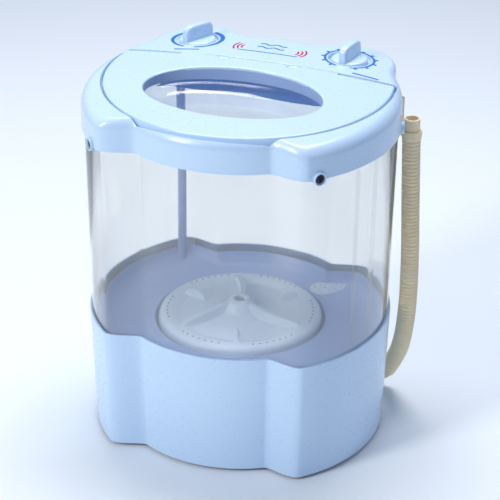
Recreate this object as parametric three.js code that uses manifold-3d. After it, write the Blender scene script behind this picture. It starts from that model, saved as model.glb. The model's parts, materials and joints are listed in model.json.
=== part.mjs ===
// A mini top-load washing machine with a clear wash tub, in millimetres, +Z up.
//
// The base housing holds the motor, the belt drive and the floor of the wash space. The clear tub
// stands in a groove of its rim, and the top cover closes the tub and carries the lid and the two
// controls. Every piece is worked out around the pulsator's vertical axis, and the finished group
// is moved so that the middle of its footprint is the origin and the feet stand on z = 0.

import * as THREE from 'three';
import { mergeVertices } from 'three/addons/utils/BufferGeometryUtils.js';
import Module from 'manifold-3d';

const wasm = await Module();
wasm.setup();

const DEG = Math.PI / 180;

// ---------------------------------------------------------------- driving dimensions

// Heights, from the floor up.
const FOOT_PROUD = 3; // rubber feet below the lower edge of the base
const BASE_HEIGHT = 137;
const TUB_SHOWN = 213; // clear tub between the base and the cover
const BAND_HEIGHT = 47.6; // lower edge of the cover to the top of its crown

// Outline seen from above: round sides, with the front and the back set in.
const SIDE_R = 165;
const RECESS_R = 136;
const RECESS_HALF_ANGLE = 31 * DEG;
const STEP_ANGLE = 11 * DEG;
const LOBE_FROM = 100; // nearer the axis than this, shapes stay round
const LOBE_FULL = 150; // from here out they follow the outline
const BASE_DRAFT = 4.8; // the base narrows by this much to its foot
const COVER_PROUD = 3; // the cover stands this far outside the base's rim

// Walls and clearances.
const BASE_WALL = 3;
const TUB_WALL = 2.5;
const COVER_WALL = 2.5;
const GAP = 0.3; // between pieces that touch
const FIT = 0.4; // between pieces that slide or turn

// Crown of the top: a shallow bowl upside down, highest behind the middle.
const CROWN_Y = 48;
const CROWN_DROP = 3.3e-4; // drop per square millimetre from its highest point
const SHOULDER_R = 12;

// Pods at the back of the cover, round the two knobs.
const KNOB_X = 87;
const KNOB_Y = 101;
const POD_R = 50;

// Lid and its opening.
const LID_R = 153.5;
const LID_Y = 22;
const LID_GAP = 2.6;
const LID_PLATE = 2.6;
const LID_SKIRT = 8;
const LEDGE = 7;
const HINGE_Y = 52;
const BARREL_R = 2.8;
const HINGE_SLACK = 0.6; // extra room behind the barrel, so that the lid can lean back
const KNUCKLE_X = 40;
const KNUCKLE_LENGTH = 12;
const HINGE_PIN_R = 1.1;
const HINGE_PIN_LENGTH = 24;

// Oval window in the lid.
const WINDOW_SIDE_RIM = 57.5; // lid's edge to the window's opening, beside, in front and behind
const WINDOW_FRONT_RIM = 44;
const WINDOW_REAR_RIM = 24.5;
const COLLAR_WALL = 2.2;
const COLLAR_DEPTH = 15;
const WINDOW_WALL = 2;
const WINDOW_DISH = 9;

// Wash space.
const FLOOR_DROP = 19; // rim of the base down to the floor
const WELL_DEPTH = 9; // pulsator well below the floor
const PULSATOR_R = 90;
const PULSATOR_RISE = 7; // rim of the pulsator above the floor
const HUB_RISE = 14; // hub above the pulsator's rim
const GROOVE_DEPTH = 13.5;
const TUB_INTO_COVER = 8.5;

// Drive.
const SHAFT_R = 4;
const BELT_Z = 24;
const BELT_WIDTH = 8;
const BELT_THICK = 5.5;
const DRIVE_PITCH_R = 63;
const MOTOR_PITCH_R = 14;
const MOTOR_OFFSET = 100;
const MOTOR_R = 42;
const MOTOR_HEIGHT = 60;
const BEARING_LENGTH = 52;

// Drain.
const DRAIN_ANGLE = 52 * DEG; // from +X towards the back
const DRAIN_R = 118;
const DRAIN_LENGTH = 44;
const DRAIN_WIDTH = 27;
const HOSE_R = 10.2;
const CUFF_R = 8.6;
const CUFF_LENGTH = 24;

// ---------------------------------------------------------------- sizes that follow from them

const BASE_Z = FOOT_PROUD;
const RIM_Z = BASE_Z + BASE_HEIGHT;
const BAND_Z = RIM_Z + TUB_SHOWN;
const DECK_Z = BAND_Z + BAND_HEIGHT;
const FLOOR_Z = RIM_Z - FLOOR_DROP;
const WELL_Z = FLOOR_Z - WELL_DEPTH;
const WELL_R = PULSATOR_R + 2.5;
const GROOVE_Z = RIM_Z - GROOVE_DEPTH;
const TUB_FOOT_Z = GROOVE_Z + 3;
const TUB_TOP_Z = BAND_Z + TUB_INTO_COVER;
const COVER_R = SIDE_R + COVER_PROUD;
const TUB_TOP_R = COVER_R - COVER_WALL - FIT;
const TUB_FOOT_R = SIDE_R - BASE_WALL + 0.3 - GAP;
const PLATE_Z = BASE_Z + 3;
const HINGE_Z = DECK_Z - BARREL_R;
const WINDOW_FRONT_Y = LID_Y - LID_R + WINDOW_FRONT_RIM;
const WINDOW_REAR_Y = HINGE_Y - WINDOW_REAR_RIM;
const WINDOW_Y = (WINDOW_FRONT_Y + WINDOW_REAR_Y) / 2;
const WINDOW_HALF_X = LID_R - WINDOW_SIDE_RIM;
const WINDOW_HALF_Y = (WINDOW_REAR_Y - WINDOW_FRONT_Y) / 2;
const HINGE_EDGE_Y = HINGE_Y + BARREL_R + FIT + HINGE_SLACK;
const HINGE_PIN_REACH = KNUCKLE_X + HINGE_PIN_LENGTH / 2 + 1;
const FRONT_REACH = RECESS_R + COVER_PROUD;
const BACK_REACH = KNOB_Y + POD_R;
const AXIS_Y = (FRONT_REACH - BACK_REACH) / 2;
const KNOB_DECK_Z = crownZ(KNOB_X, KNOB_Y);
const WELL_FLOOR_Z = KNOB_DECK_Z - 3.6;
const LINER_FLOOR_Z = TUB_TOP_Z + 0.8;
const PULSATOR_RIM_Z = FLOOR_Z + PULSATOR_RISE;
const PULSATOR_HUB_Z = PULSATOR_RIM_Z + HUB_RISE;
const DRAIN_X = DRAIN_R * Math.cos(DRAIN_ANGLE);
const DRAIN_Y = DRAIN_R * Math.sin(DRAIN_ANGLE);
const SCREW_Z = BAND_Z + 2;
const SCREW_ANGLES = [-166, -102.5, -46.5, 46.5, 102.5, 166].map((a) => a * DEG);
const FAR = 400; // a length that is longer than anything cut with it

// Facets round the outline, round the crown and round the lid's edge.
const OUTLINE_SEGMENTS = 48;
const CROWN_SEGMENTS = 24;
const LID_SEGMENTS = 14;

// Centre line of the drain hose from its outlet up to its cuff, chosen by hand.
const HOSE_ROUTE = [
  [144.5, 99, 27],
  [149, 94, 36],
  [156, 86.5, 51],
  [162.5, 79, 68],
  [167.5, 73, 89],
  [170.8, 69, 113],
  [172.5, 67, 138],
  [173, 66, 165],
  [172.6, 66, 195],
  [171.6, 66, 225],
  [170.4, 66, 255],
  [169.4, 66, 285],
  [168.6, 66, 308],
  [168, 66, 330],
];
const CUFF_FOOT = new THREE.Vector3(...HOSE_ROUTE[HOSE_ROUTE.length - 1]);

// ---------------------------------------------------------------- helpers

// Height of the crowned top at a point.
function crownZ(x, y) {
  return DECK_Z - CROWN_DROP * (x * x + (y - CROWN_Y) * (y - CROWN_Y));
}

// A three.js geometry as a solid: vertices shared, flat triangles dropped, faces turned outwards.
function solid(geometry) {
  const bare = new THREE.BufferGeometry();
  bare.setAttribute('position', geometry.getAttribute('position'));
  if (geometry.index) bare.setIndex(geometry.index);
  const merged = mergeVertices(bare, 1e-4);
  const p = merged.getAttribute('position').array;
  const source = merged.index.array;
  const triangles = [];
  let volume = 0;
  for (let i = 0; i < source.length; i += 3) {
    const [a, b, c] = [source[i], source[i + 1], source[i + 2]];
    if (a === b || b === c || a === c) continue;
    triangles.push([a, b, c]);
    const [ax, ay, az] = [p[3 * a], p[3 * a + 1], p[3 * a + 2]];
    const [bx, by, bz] = [p[3 * b], p[3 * b + 1], p[3 * b + 2]];
    const [cx, cy, cz] = [p[3 * c], p[3 * c + 1], p[3 * c + 2]];
    volume += ax * (by * cz - bz * cy) + ay * (bz * cx - bx * cz) + az * (bx * cy - by * cx);
  }
  const facing = volume < 0 ? triangles.map(([a, b, c]) => [a, c, b]) : triangles;
  return new wasm.Manifold(
    new wasm.Mesh({
      numProp: 3,
      vertProperties: Float32Array.from(p),
      triVerts: Uint32Array.from(facing.flat()),
    }),
  );
}

function join(...solids) {
  return solids.reduce((a, b) => a.add(b));
}

function cut(body, ...tools) {
  return tools.reduce((a, b) => a.subtract(b), body);
}

// Moves every vertex of a geometry by a rule that changes a THREE.Vector3.
function reshape(geometry, rule) {
  const position = geometry.getAttribute('position');
  const v = new THREE.Vector3();
  for (let i = 0; i < position.count; i += 1) {
    v.fromBufferAttribute(position, i);
    rule(v);
    position.setXYZ(i, v.x, v.y, v.z);
  }
  return geometry;
}

// A turned shape about the Z axis from [radius, z] points. A profile that leaves the axis closes
// on itself.
function turned(points, segments) {
  const closes = points[0][0] > 0;
  const profile = closes ? [...points, points[0]] : points;
  const geometry = new THREE.LatheGeometry(profile.map(([r, z]) => new THREE.Vector2(r, z)), segments);
  return geometry.rotateX(Math.PI / 2);
}

function lathe(points, segments = 48, at = [0, 0, 0]) {
  return solid(turned(points, segments).translate(...at));
}

function cylinder(radius, low, high, x = 0, y = 0, segments = 24) {
  return lathe([[0, low], [radius, low], [radius, high], [0, high]], segments, [x, y, 0]);
}

function block(low, high) {
  const size = high.map((h, i) => h - low[i]);
  const middle = high.map((h, i) => (h + low[i]) / 2);
  return solid(new THREE.BoxGeometry(...size).translate(...middle));
}

// A flat shape carried up from z = low to z = high.
function prism(shape, low, high, curveSegments = 24) {
  const options = { depth: high - low, bevelEnabled: false, curveSegments };
  return solid(new THREE.ExtrudeGeometry(shape, options).translate(0, 0, low));
}

// How far the outline's radius is inside the round sides, at an angle from the front.
function recessAt(x, y) {
  const fromFace = Math.atan2(Math.abs(x), Math.abs(y));
  const t = THREE.MathUtils.clamp((fromFace - RECESS_HALF_ANGLE) / STEP_ANGLE, 0, 1);
  return (SIDE_R - RECESS_R) * (1 - t * t * (3 - 2 * t));
}

// Turns the even facets of a round shape towards the outline's steps, so that they are finer there.
// Angles are degrees from the front or back face: those between 22.5 and 52.5 move to 30 to 45.
function gatherFacets(v) {
  const even = Math.atan2(Math.abs(v.x), Math.abs(v.y)) / DEG;
  const low = Math.min(even, 22.5) / 22.5;
  const middle = THREE.MathUtils.clamp(even - 22.5, 0, 30) / 30;
  const high = Math.max(even - 52.5, 0) / 37.5;
  const gathered = (30 * low + 15 * middle + 45 * high) * DEG;
  const r = Math.hypot(v.x, v.y);
  v.x = Math.sign(v.x) * r * Math.sin(gathered);
  v.y = Math.sign(v.y) * r * Math.cos(gathered);
}

// Draws a turned shape in at the front and the back, so that it follows the outline.
function followOutline(v) {
  const r = Math.hypot(v.x, v.y);
  if (r < LOBE_FROM) return;
  gatherFacets(v);
  const share = Math.min(1, (r - LOBE_FROM) / (LOBE_FULL - LOBE_FROM));
  const scale = (r - share * recessAt(v.x, v.y)) / r;
  v.x *= scale;
  v.y *= scale;
}

function lobed(points) {
  return solid(reshape(turned(points, OUTLINE_SEGMENTS), followOutline));
}

// Lowers the upper part of a shape so that a level top becomes the crowned one.
function followCrown(v) {
  const share = THREE.MathUtils.clamp((v.z - BAND_Z) / (DECK_Z - SHOULDER_R - BAND_Z), 0, 1);
  v.z += share * (crownZ(v.x, v.y) - DECK_Z);
}

// Everything under the crowned surface, taken down by a depth.
function underCrown(depth) {
  const rings = 4;
  const reach = COVER_R + CROWN_Y - 1; // past the cover's front corners
  const points = [[0, BAND_Z - FAR / 4], [reach, BAND_Z - FAR / 4]];
  for (let i = rings; i >= 0; i -= 1) {
    const r = (reach * i) / rings;
    points.push([r, DECK_Z - depth - CROWN_DROP * r * r]);
  }
  return lathe(points, CROWN_SEGMENTS, [0, CROWN_Y, 0]);
}

// The cover's outer shape, or with an inset the room inside its wall.
function coverBlock(inset, low, depth) {
  const r = COVER_R - inset;
  const top = DECK_Z - depth;
  const bend = SHOULDER_R - inset;
  const body = [
    [0, low],
    [r, low],
    [r, top - bend],
    [r - 0.13 * bend, top - 0.5 * bend],
    [r - 0.5 * bend, top - 0.13 * bend],
    [r - bend, top],
    [0, top + FAR / 10],
  ];
  const crowned = (v) => {
    followOutline(v);
    followCrown(v);
  };
  const main = solid(reshape(turned(body, OUTLINE_SEGMENTS), crowned));
  const pr = POD_R - inset;
  const podBody = [[0, low], [pr, low], [pr, top - 4], [pr - 4, top], [0, top + FAR / 10]];
  const pods = [-KNOB_X, KNOB_X].map((x) =>
    solid(reshape(turned(podBody, 24).translate(x, KNOB_Y, 0), followCrown)),
  );
  return join(main, ...pods).intersect(underCrown(depth));
}

// The lid's outline grown by a margin: a circle cut straight at the hinge.
function lidShape(margin, rear = HINGE_Y) {
  const r = LID_R + margin;
  const corner = Math.asin((rear - LID_Y) / r);
  const shape = new THREE.Shape();
  shape.absarc(0, LID_Y, r, Math.PI - corner, 2 * Math.PI + corner, false);
  shape.closePath();
  return shape;
}

// An oval about the window's middle, grown by a margin.
function ovalShape(margin) {
  const shape = new THREE.Shape();
  shape.absellipse(0, WINDOW_Y, WINDOW_HALF_X + margin, WINDOW_HALF_Y + margin, 0, 2 * Math.PI, false, 0);
  return shape;
}

// A bar along X about the hinge's axis.
function hingeBar(radius, low, high, segments = 20) {
  const bar = new THREE.CylinderGeometry(radius, radius, high - low, segments);
  return solid(bar.rotateZ(Math.PI / 2).translate((low + high) / 2, HINGE_Y, HINGE_Z));
}

// Turns a shape made about Z so that its axis points out from the pulsator's axis at an angle
// from the front, and moves it there.
function pointOut(geometry, angle, z) {
  geometry.rotateX(Math.PI / 2).rotateZ(angle).translate(0, 0, z);
  return geometry;
}

// A turned shape whose axis is a radius of the machine: points are [radius, distance from axis].
function radial(points, angle, z, segments = 12) {
  return solid(pointOut(turned(points, segments), angle, z));
}

const group = new THREE.Group();
group.name = 'mini_washing_machine';

const LIGHT_BLUE = 0xc9e4f8;
const CREAM = 0xddd3b8;
const STEEL = 0x8c9096;

// Names a solid and adds it to the machine.
function piece(name, body, color, roughness = 0.4, metalness = 0) {
  const mesh = body.getMesh();
  const geometry = new THREE.BufferGeometry();
  geometry.setAttribute('position', new THREE.BufferAttribute(mesh.vertProperties, 3));
  geometry.setIndex(new THREE.BufferAttribute(mesh.triVerts, 1));
  geometry.computeVertexNormals();
  const material = new THREE.MeshStandardMaterial({ color, roughness, metalness, flatShading: true });
  const object = new THREE.Mesh(geometry, material);
  object.name = name;
  group.add(object);
}

// ---------------------------------------------------------------- base

const SPOUT_ANGLE = 126 * DEG;
const SPOUT_Z = 18.5;
const GLAND_ANGLE = -160 * DEG;
const GLAND_Z = 32;
const CONDUIT_R = 5;
const CONDUIT_X = -108;
const CONDUIT_Y = 102;
const POST_PLACES = [[-115, -62], [115, -62], [-115, 62], [115, 62]];
const BOSS_PLACES = [[-34, -44], [34, -44], [-34, 44], [34, 44]].map(([x, y]) => [x - MOTOR_OFFSET, y]);
const BRACKET_TOP_Z = WELL_Z - BASE_WALL - 5;

// Underside of the floor at a distance from the axis, a little inside its thickness.
function floorRoot(x, y) {
  return (Math.hypot(x, y) < WELL_R ? WELL_Z : FLOOR_Z) - BASE_WALL / 2;
}

// Oblong over the drain, its length along a radius.
function drainShape(margin) {
  const half = DRAIN_LENGTH / 2 - DRAIN_WIDTH / 2;
  const r = DRAIN_WIDTH / 2 + margin;
  const [c, s] = [Math.cos(DRAIN_ANGLE), Math.sin(DRAIN_ANGLE)];
  const shape = new THREE.Shape();
  const nearStart = DRAIN_ANGLE - Math.PI / 2;
  const farStart = DRAIN_ANGLE + Math.PI / 2;
  shape.absarc(DRAIN_X + half * c, DRAIN_Y + half * s, r, nearStart, farStart);
  shape.absarc(DRAIN_X - half * c, DRAIN_Y - half * s, r, farStart, farStart + Math.PI);
  return shape;
}

function baseHousing() {
  const foot = SIDE_R - BASE_DRAFT;
  const w = BASE_WALL;
  const shell = lobed([
    [foot, BASE_Z],
    [SIDE_R, RIM_Z],
    [SIDE_R - w + 0.3, RIM_Z],
    [SIDE_R - w + 0.3, GROOVE_Z],
    [TUB_FOOT_R - TUB_WALL - 2.3, GROOVE_Z],
    [TUB_FOOT_R - TUB_WALL - 3.3, RIM_Z - 6],
    [TUB_FOOT_R - TUB_WALL - 9, FLOOR_Z + 3],
    [TUB_FOOT_R - TUB_WALL - 18, FLOOR_Z],
    [WELL_R + 1.5, FLOOR_Z],
    [WELL_R, WELL_Z],
    [13, WELL_Z],
    [13, WELL_Z - w],
    [WELL_R + 2, WELL_Z - w],
    [WELL_R + 4, FLOOR_Z - w],
    [TUB_FOOT_R - TUB_WALL - 17, FLOOR_Z - w],
    [TUB_FOOT_R - TUB_WALL - 5, GROOVE_Z - w],
    [SIDE_R - w - 0.5, GROOVE_Z - w],
    [foot - w, BASE_Z],
  ]);
  const posts = POST_PLACES.map(([x, y]) => cylinder(5, PLATE_Z + 3 + GAP, floorRoot(x, y), x, y, 8));
  const bosses = BOSS_PLACES.map(([x, y]) => cylinder(5, BRACKET_TOP_Z + GAP, floorRoot(x, y), x, y, 8));
  const postHoles = POST_PLACES.map(([x, y]) => cylinder(2.3, 0, PLATE_Z + 25, x, y, 8));
  const bossHoles = BOSS_PLACES.map(([x, y]) => cylinder(2.3, 0, BRACKET_TOP_Z + 6, x, y, 8));
  const sumpHole = prism(drainShape(-4), GROOVE_Z - FAR / 10, FLOOR_Z + 1, 8);
  const grilleSeat = prism(drainShape(FIT), FLOOR_Z - 1.4, FLOOR_Z + 1, 8);
  const conduitHole = cylinder(CONDUIT_R + GAP, FLOOR_Z - 12, FLOOR_Z + 12, CONDUIT_X, CONDUIT_Y, 16);
  const spoutHole = radial([[0, 130], [8.6, 130], [8.6, 190], [0, 190]], SPOUT_ANGLE, SPOUT_Z);
  const glandHole = radial([[0, 110], [6.6, 110], [6.6, 170], [0, 170]], GLAND_ANGLE, GLAND_Z);
  return cut(
    join(shell, ...posts, ...bosses),
    ...postHoles,
    ...bossHoles,
    sumpHole,
    grilleSeat,
    conduitHole,
    spoutHole,
    glandHole,
  );
}

function bottomPlate() {
  const edge = SIDE_R - BASE_DRAFT - BASE_WALL - 1;
  const plate = lobed([[0, PLATE_Z], [edge, PLATE_Z], [edge, PLATE_Z + 3], [0, PLATE_Z + 3]]);
  const holes = POST_PLACES.map(([x, y]) => cylinder(2.6, 0, 20, x, y, 10));
  const slots = [];
  for (let i = -3; i <= 3; i += 1) {
    slots.push(block([-30, i * 12 - 2.5, 0], [30, i * 12 + 2.5, 20]));
  }
  return cut(plate, ...holes, ...slots);
}

const FOOT_X = 92;
const FOOT_Y = 92;

function rubberFoot(x, y) {
  const top = PLATE_Z - GAP;
  return lathe([[0, 0], [11, 0], [13, 1.5], [13, top], [0, top]], 16, [x, y, 0]);
}

function plateScrew(x, y) {
  const head = PLATE_Z - GAP;
  const points = [[0, head - 2.2], [3.4, head - 2.2], [4.2, head], [1.9, head], [1.9, head + 20], [0, head + 20]];
  return lathe(points, 10, [x, y, 0]);
}

// ---------------------------------------------------------------- tub

const RIB_ANGLES = [67 * DEG, 78.8 * DEG];

function clearTub() {
  const wall = lobed([
    [TUB_FOOT_R, TUB_FOOT_Z],
    [TUB_TOP_R, TUB_TOP_Z],
    [TUB_TOP_R - TUB_WALL, TUB_TOP_Z],
    [TUB_FOOT_R - TUB_WALL, TUB_FOOT_Z],
  ]);
  const ribs = RIB_ANGLES.map((angle) => {
    const inner = TUB_FOOT_R - TUB_WALL - 3;
    const rib = new THREE.BoxGeometry(2.2, 4.5, TUB_SHOWN - 22);
    rib.translate(0, -inner - 2.25, RIM_Z + 2 + (TUB_SHOWN - 22) / 2);
    return solid(rib.rotateZ(angle));
  });
  const bosses = SCREW_ANGLES.map((angle) => {
    const r = TUB_TOP_R - recessAt(Math.sin(angle), Math.cos(angle));
    return radial([[0, r - 7], [5, r - 7], [5, r - 1], [0, r - 1]], angle, SCREW_Z, 8);
  });
  const holes = SCREW_ANGLES.map((angle) => radial([[0, 90], [2.3, 90], [2.3, 200], [0, 200]], angle, SCREW_Z, 8));
  return cut(join(wall, ...ribs, ...bosses), ...holes);
}

function tubGasket() {
  const low = GROOVE_Z + GAP;
  const high = TUB_FOOT_Z - GAP;
  const outer = TUB_FOOT_R - GAP;
  const inner = TUB_FOOT_R - TUB_WALL - 1.6;
  return lobed([[inner, low], [outer, low], [outer, high], [inner, high]]);
}

// ---------------------------------------------------------------- cover

const BOSS_R = 7;

function screwRadius(angle) {
  return COVER_R - recessAt(Math.sin(angle), Math.cos(angle));
}

function topCover() {
  const shell = cut(coverBlock(0, BAND_Z, 0), coverBlock(COVER_WALL, BAND_Z - 5, COVER_WALL));
  const rim = lidShape(LID_GAP + COVER_WALL, HINGE_EDGE_Y + COVER_WALL);
  const depth = LID_SKIRT + 0.8 + COVER_WALL;
  const rimBlock = prism(rim, BAND_Z, DECK_Z + 5, LID_SEGMENTS);
  const recessWall = cut(rimBlock.intersect(underCrown(1)), underCrown(depth));
  const wells = [-KNOB_X, KNOB_X].map((x) =>
    cylinder(26, WELL_FLOOR_Z - COVER_WALL, WELL_FLOOR_Z + 2, x, KNOB_Y, 20),
  );
  const screwBosses = SCREW_ANGLES.map((angle) => {
    const r = screwRadius(angle);
    const points = [[0, r - 2], [BOSS_R, r - 2], [BOSS_R, r + 2.4], [BOSS_R - 1, r + 3.4], [0, r + 3.4]];
    return radial(points, angle, SCREW_Z, 10);
  });
  const knuckles = [-KNUCKLE_X, KNUCKLE_X].map((x) => {
    const low = x - KNUCKLE_LENGTH / 2;
    const high = x + KNUCKLE_LENGTH / 2;
    const web = block([low, HINGE_Y, HINGE_Z - 2.4], [high, HINGE_EDGE_Y + 1, HINGE_Z + 0.8]);
    return join(hingeBar(BARREL_R - 0.4, low, high), web);
  });

  const lidRoom = prism(lidShape(LID_GAP), BAND_Z, DECK_Z + 5, LID_SEGMENTS);
  const recess = cut(lidRoom, underCrown(depth - COVER_WALL));
  const behindLid = block([-FAR / 2, HINGE_Y - 1, HINGE_Z], [FAR / 2, HINGE_EDGE_Y, DECK_Z + 5]);
  const barrelRoom = join(hingeBar(BARREL_R + FIT, -FAR / 2, FAR / 2), behindLid).intersect(
    prism(lidShape(LID_GAP, HINGE_EDGE_Y), BAND_Z, DECK_Z + 5, LID_SEGMENTS),
  );
  const mouth = prism(lidShape(-LEDGE, HINGE_Y - LEDGE), BAND_Z - 5, DECK_Z + 5, LID_SEGMENTS);
  const knobWells = [-KNOB_X, KNOB_X].map((x) => cylinder(23, WELL_FLOOR_Z, DECK_Z + 5, x, KNOB_Y, 20));
  const shaftHoles = [-KNOB_X, KNOB_X].map((x) => cylinder(4, BAND_Z, DECK_Z + 5, x, KNOB_Y, 12));
  const pinHole = hingeBar(HINGE_PIN_R + GAP, -HINGE_PIN_REACH, HINGE_PIN_REACH, 12);
  const screwHoles = SCREW_ANGLES.map((angle) => {
    const r = screwRadius(angle);
    const points = [[0, r - 12], [2.4, r - 12], [2.4, r + 0.9], [5.3, r + 0.9], [5.3, r + 9], [0, r + 9]];
    return radial(points, angle, SCREW_Z, 8);
  });
  const walls = join(shell, recessWall, ...wells);
  const hollow = cut(walls, recess, barrelRoom, mouth, ...knobWells, ...shaftHoles);
  const tubRoom = SCREW_ANGLES.map((angle) => {
    const r = screwRadius(angle) - COVER_WALL;
    return radial([[0, r - 9], [BOSS_R + 1, r - 9], [BOSS_R + 1, r], [0, r]], angle, SCREW_Z, 8);
  });
  const bossed = cut(join(...screwBosses), ...tubRoom);
  return cut(join(hollow, bossed, ...knuckles), pinHole, ...screwHoles);
}

// Screw from outside through the cover into the tub's boss.
function coverScrew(angle) {
  const r = screwRadius(angle);
  const seat = r + 1.2;
  const points = [
    [0, r - 9],
    [1.9, r - 9],
    [1.9, seat],
    [4.8, seat],
    [4.4, seat + 1.6],
    [2.4, seat + 2.5],
    [0, seat + 2.7],
  ];
  return radial(points, angle, SCREW_Z, 8);
}

// Tray behind the lid: its front wall closes the wash space, its floor carries the controls.
const LINER_WALL = 2.2;
const LINER_FRONT_Y = HINGE_EDGE_Y + COVER_WALL + 1;
const LINER_FOOT_Z = BAND_Z + 2;
const LINER_INSET = COVER_WALL + GAP + 0.2; // tray's walls inside the cover's edge and crown

function controlTray() {
  const corner = (y, z) => block([-FAR, y, z], [FAR, FAR, FAR * 2]);
  const outer = coverBlock(LINER_INSET, BAND_Z, LINER_INSET).intersect(corner(LINER_FRONT_Y, LINER_FLOOR_Z));
  const room = coverBlock(LINER_INSET + LINER_WALL, BAND_Z, 0).intersect(
    corner(LINER_FRONT_Y + LINER_WALL, LINER_FLOOR_Z + LINER_WALL),
  );
  const wells = [-KNOB_X, KNOB_X].map((x) =>
    cylinder(27, WELL_FLOOR_Z - COVER_WALL - 0.6, DECK_Z + 5, x, KNOB_Y, 20),
  );
  const tubInside = lobed([
    [0, LINER_FOOT_Z],
    [TUB_TOP_R - TUB_WALL - 8.5, LINER_FOOT_Z],
    [TUB_TOP_R - TUB_WALL - 8.5, LINER_FLOOR_Z + 1],
    [0, LINER_FLOOR_Z + 1],
  ]);
  const apron = tubInside.intersect(
    block([-FAR, LINER_FRONT_Y, LINER_FOOT_Z], [FAR, LINER_FRONT_Y + LINER_WALL, LINER_FLOOR_Z + 1]),
  );
  const dialRecess = block(
    [-31, LINER_FRONT_Y - 1, LINER_FOOT_Z + 8],
    [31, LINER_FRONT_Y + 1, LINER_FOOT_Z + 20],
  );
  const conduitHole = cylinder(
    CONDUIT_R + GAP,
    LINER_FLOOR_Z - 5,
    LINER_FLOOR_Z + 5,
    CONDUIT_X,
    CONDUIT_Y,
    16,
  );
  const shell = join(cut(outer, room), apron);
  return cut(shell, ...wells, dialRecess, conduitHole);
}

// ---------------------------------------------------------------- lid

function lidFrame() {
  const whole = prism(lidShape(0), BAND_Z, DECK_Z + 5, LID_SEGMENTS);
  const inside = prism(lidShape(-LID_PLATE, HINGE_Y - 5), BAND_Z - 1, DECK_Z + 6, LID_SEGMENTS);
  const plate = cut(whole.intersect(underCrown(0)), underCrown(LID_PLATE));
  const skirt = cut(whole.intersect(underCrown(1)), inside, underCrown(LID_SKIRT));
  const collarLow = DECK_Z - COLLAR_DEPTH;
  const collar = prism(ovalShape(COLLAR_WALL), collarLow, DECK_Z + 5, 20).intersect(underCrown(1));
  const barrel = hingeBar(BARREL_R, -FAR / 2, FAR / 2)
    .intersect(prism(lidShape(0, HINGE_Y + BARREL_R), BAND_Z, DECK_Z + 5, LID_SEGMENTS))
    .intersect(underCrown(0));
  const opening = prism(ovalShape(0), BAND_Z, DECK_Z + 9, 20);
  const knuckleRoom = [-KNUCKLE_X, KNUCKLE_X].map((x) => {
    const half = KNUCKLE_LENGTH / 2 + FIT;
    return block(
      [x - half, HINGE_Y - BARREL_R - FIT, BAND_Z],
      [x + half, HINGE_Y + BARREL_R + 9, DECK_Z + 5],
    );
  });
  const pinHole = hingeBar(HINGE_PIN_R + GAP, -HINGE_PIN_REACH, HINGE_PIN_REACH, 12);
  return cut(join(plate, skirt, collar, barrel), opening, ...knuckleRoom, pinHole);
}

// A turned shape stretched along X into an oval, its radius measured along Y.
function oval(points, segments = 36) {
  const stretch = (v) => {
    const r = Math.hypot(v.x, v.y);
    const share = Math.min(1, r / 30);
    if (r > 0) v.x += ((WINDOW_HALF_X - WINDOW_HALF_Y) * share * v.x) / r;
    v.y += WINDOW_Y;
  };
  return solid(reshape(turned(points, segments), stretch));
}

function lidWindow() {
  const top = DECK_Z - COLLAR_DEPTH - GAP;
  const b = WINDOW_HALF_Y;
  const t = WINDOW_WALL;
  return oval([
    [0, top - WINDOW_DISH - t],
    [b - 14.5, top - WINDOW_DISH - t],
    [b - 3, top - t],
    [b + COLLAR_WALL + 3.5, top - t],
    [b + COLLAR_WALL + 3.5, top],
    [b - 4, top],
    [b - 15, top - WINDOW_DISH],
    [0, top - WINDOW_DISH],
  ]);
}

function hingePin(x) {
  return hingeBar(HINGE_PIN_R, x - HINGE_PIN_LENGTH / 2, x + HINGE_PIN_LENGTH / 2, 12);
}

// ---------------------------------------------------------------- controls

const KNOB_R = 20;
const GRIP_LENGTH = 40;
const GRIP_WIDTH = 11;
const GRIP_RISE = 16;

function controlKnob(x, turn) {
  const low = WELL_FLOOR_Z + FIT;
  const disc = lathe([[0, low], [KNOB_R, low], [KNOB_R, low + 3.5], [KNOB_R - 2, low + 5], [0, low + 5]], 24);
  const grip = new THREE.Shape();
  const half = GRIP_LENGTH / 2;
  grip.moveTo(-half, 0);
  grip.lineTo(half, 0);
  grip.lineTo(half, GRIP_RISE - 6);
  grip.quadraticCurveTo(half, GRIP_RISE, half - 8, GRIP_RISE);
  grip.lineTo(-half + 8, GRIP_RISE);
  grip.quadraticCurveTo(-half, GRIP_RISE, -half, GRIP_RISE - 6);
  const options = { depth: GRIP_WIDTH - 4, bevelSize: 2, bevelThickness: 2, bevelSegments: 1, curveSegments: 3 };
  const bar = new THREE.ExtrudeGeometry(grip, options);
  bar.translate(0, 0, -(GRIP_WIDTH - 4) / 2).rotateX(Math.PI / 2).translate(0, 0, low + 4);
  const above = cylinder(half, low + 2, low + GRIP_RISE + 12, 0, 0, 24);
  const socket = cylinder(3 + GAP, low - 1, low + 11, 0, 0, 16);
  const knob = cut(join(disc, solid(bar).intersect(above)), socket);
  return knob.rotate([0, 0, turn]).translate([x, KNOB_Y, 0]);
}

function controlShaft(x) {
  return cylinder(3, WELL_FLOOR_Z - COVER_WALL - 2, WELL_FLOOR_Z + FIT + 10.5, x, KNOB_Y, 16);
}

// Body of a control under its well, with room above it for the shaft's foot.
function controlBody(x, halfWidth, halfDepth, height) {
  const high = WELL_FLOOR_Z - COVER_WALL - GAP;
  const body = block([x - halfWidth, KNOB_Y - halfDepth, high - height], [x + halfWidth, KNOB_Y + halfDepth, high]);
  const neckRoom = cylinder(3 + FIT, high - 2.4, high + 5, x, KNOB_Y, 16);
  return cut(body, neckRoom);
}

// ---------------------------------------------------------------- pulsator and drive

const BLADE_TURN = -14; // degrees from +X to a long blade at rest

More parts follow.
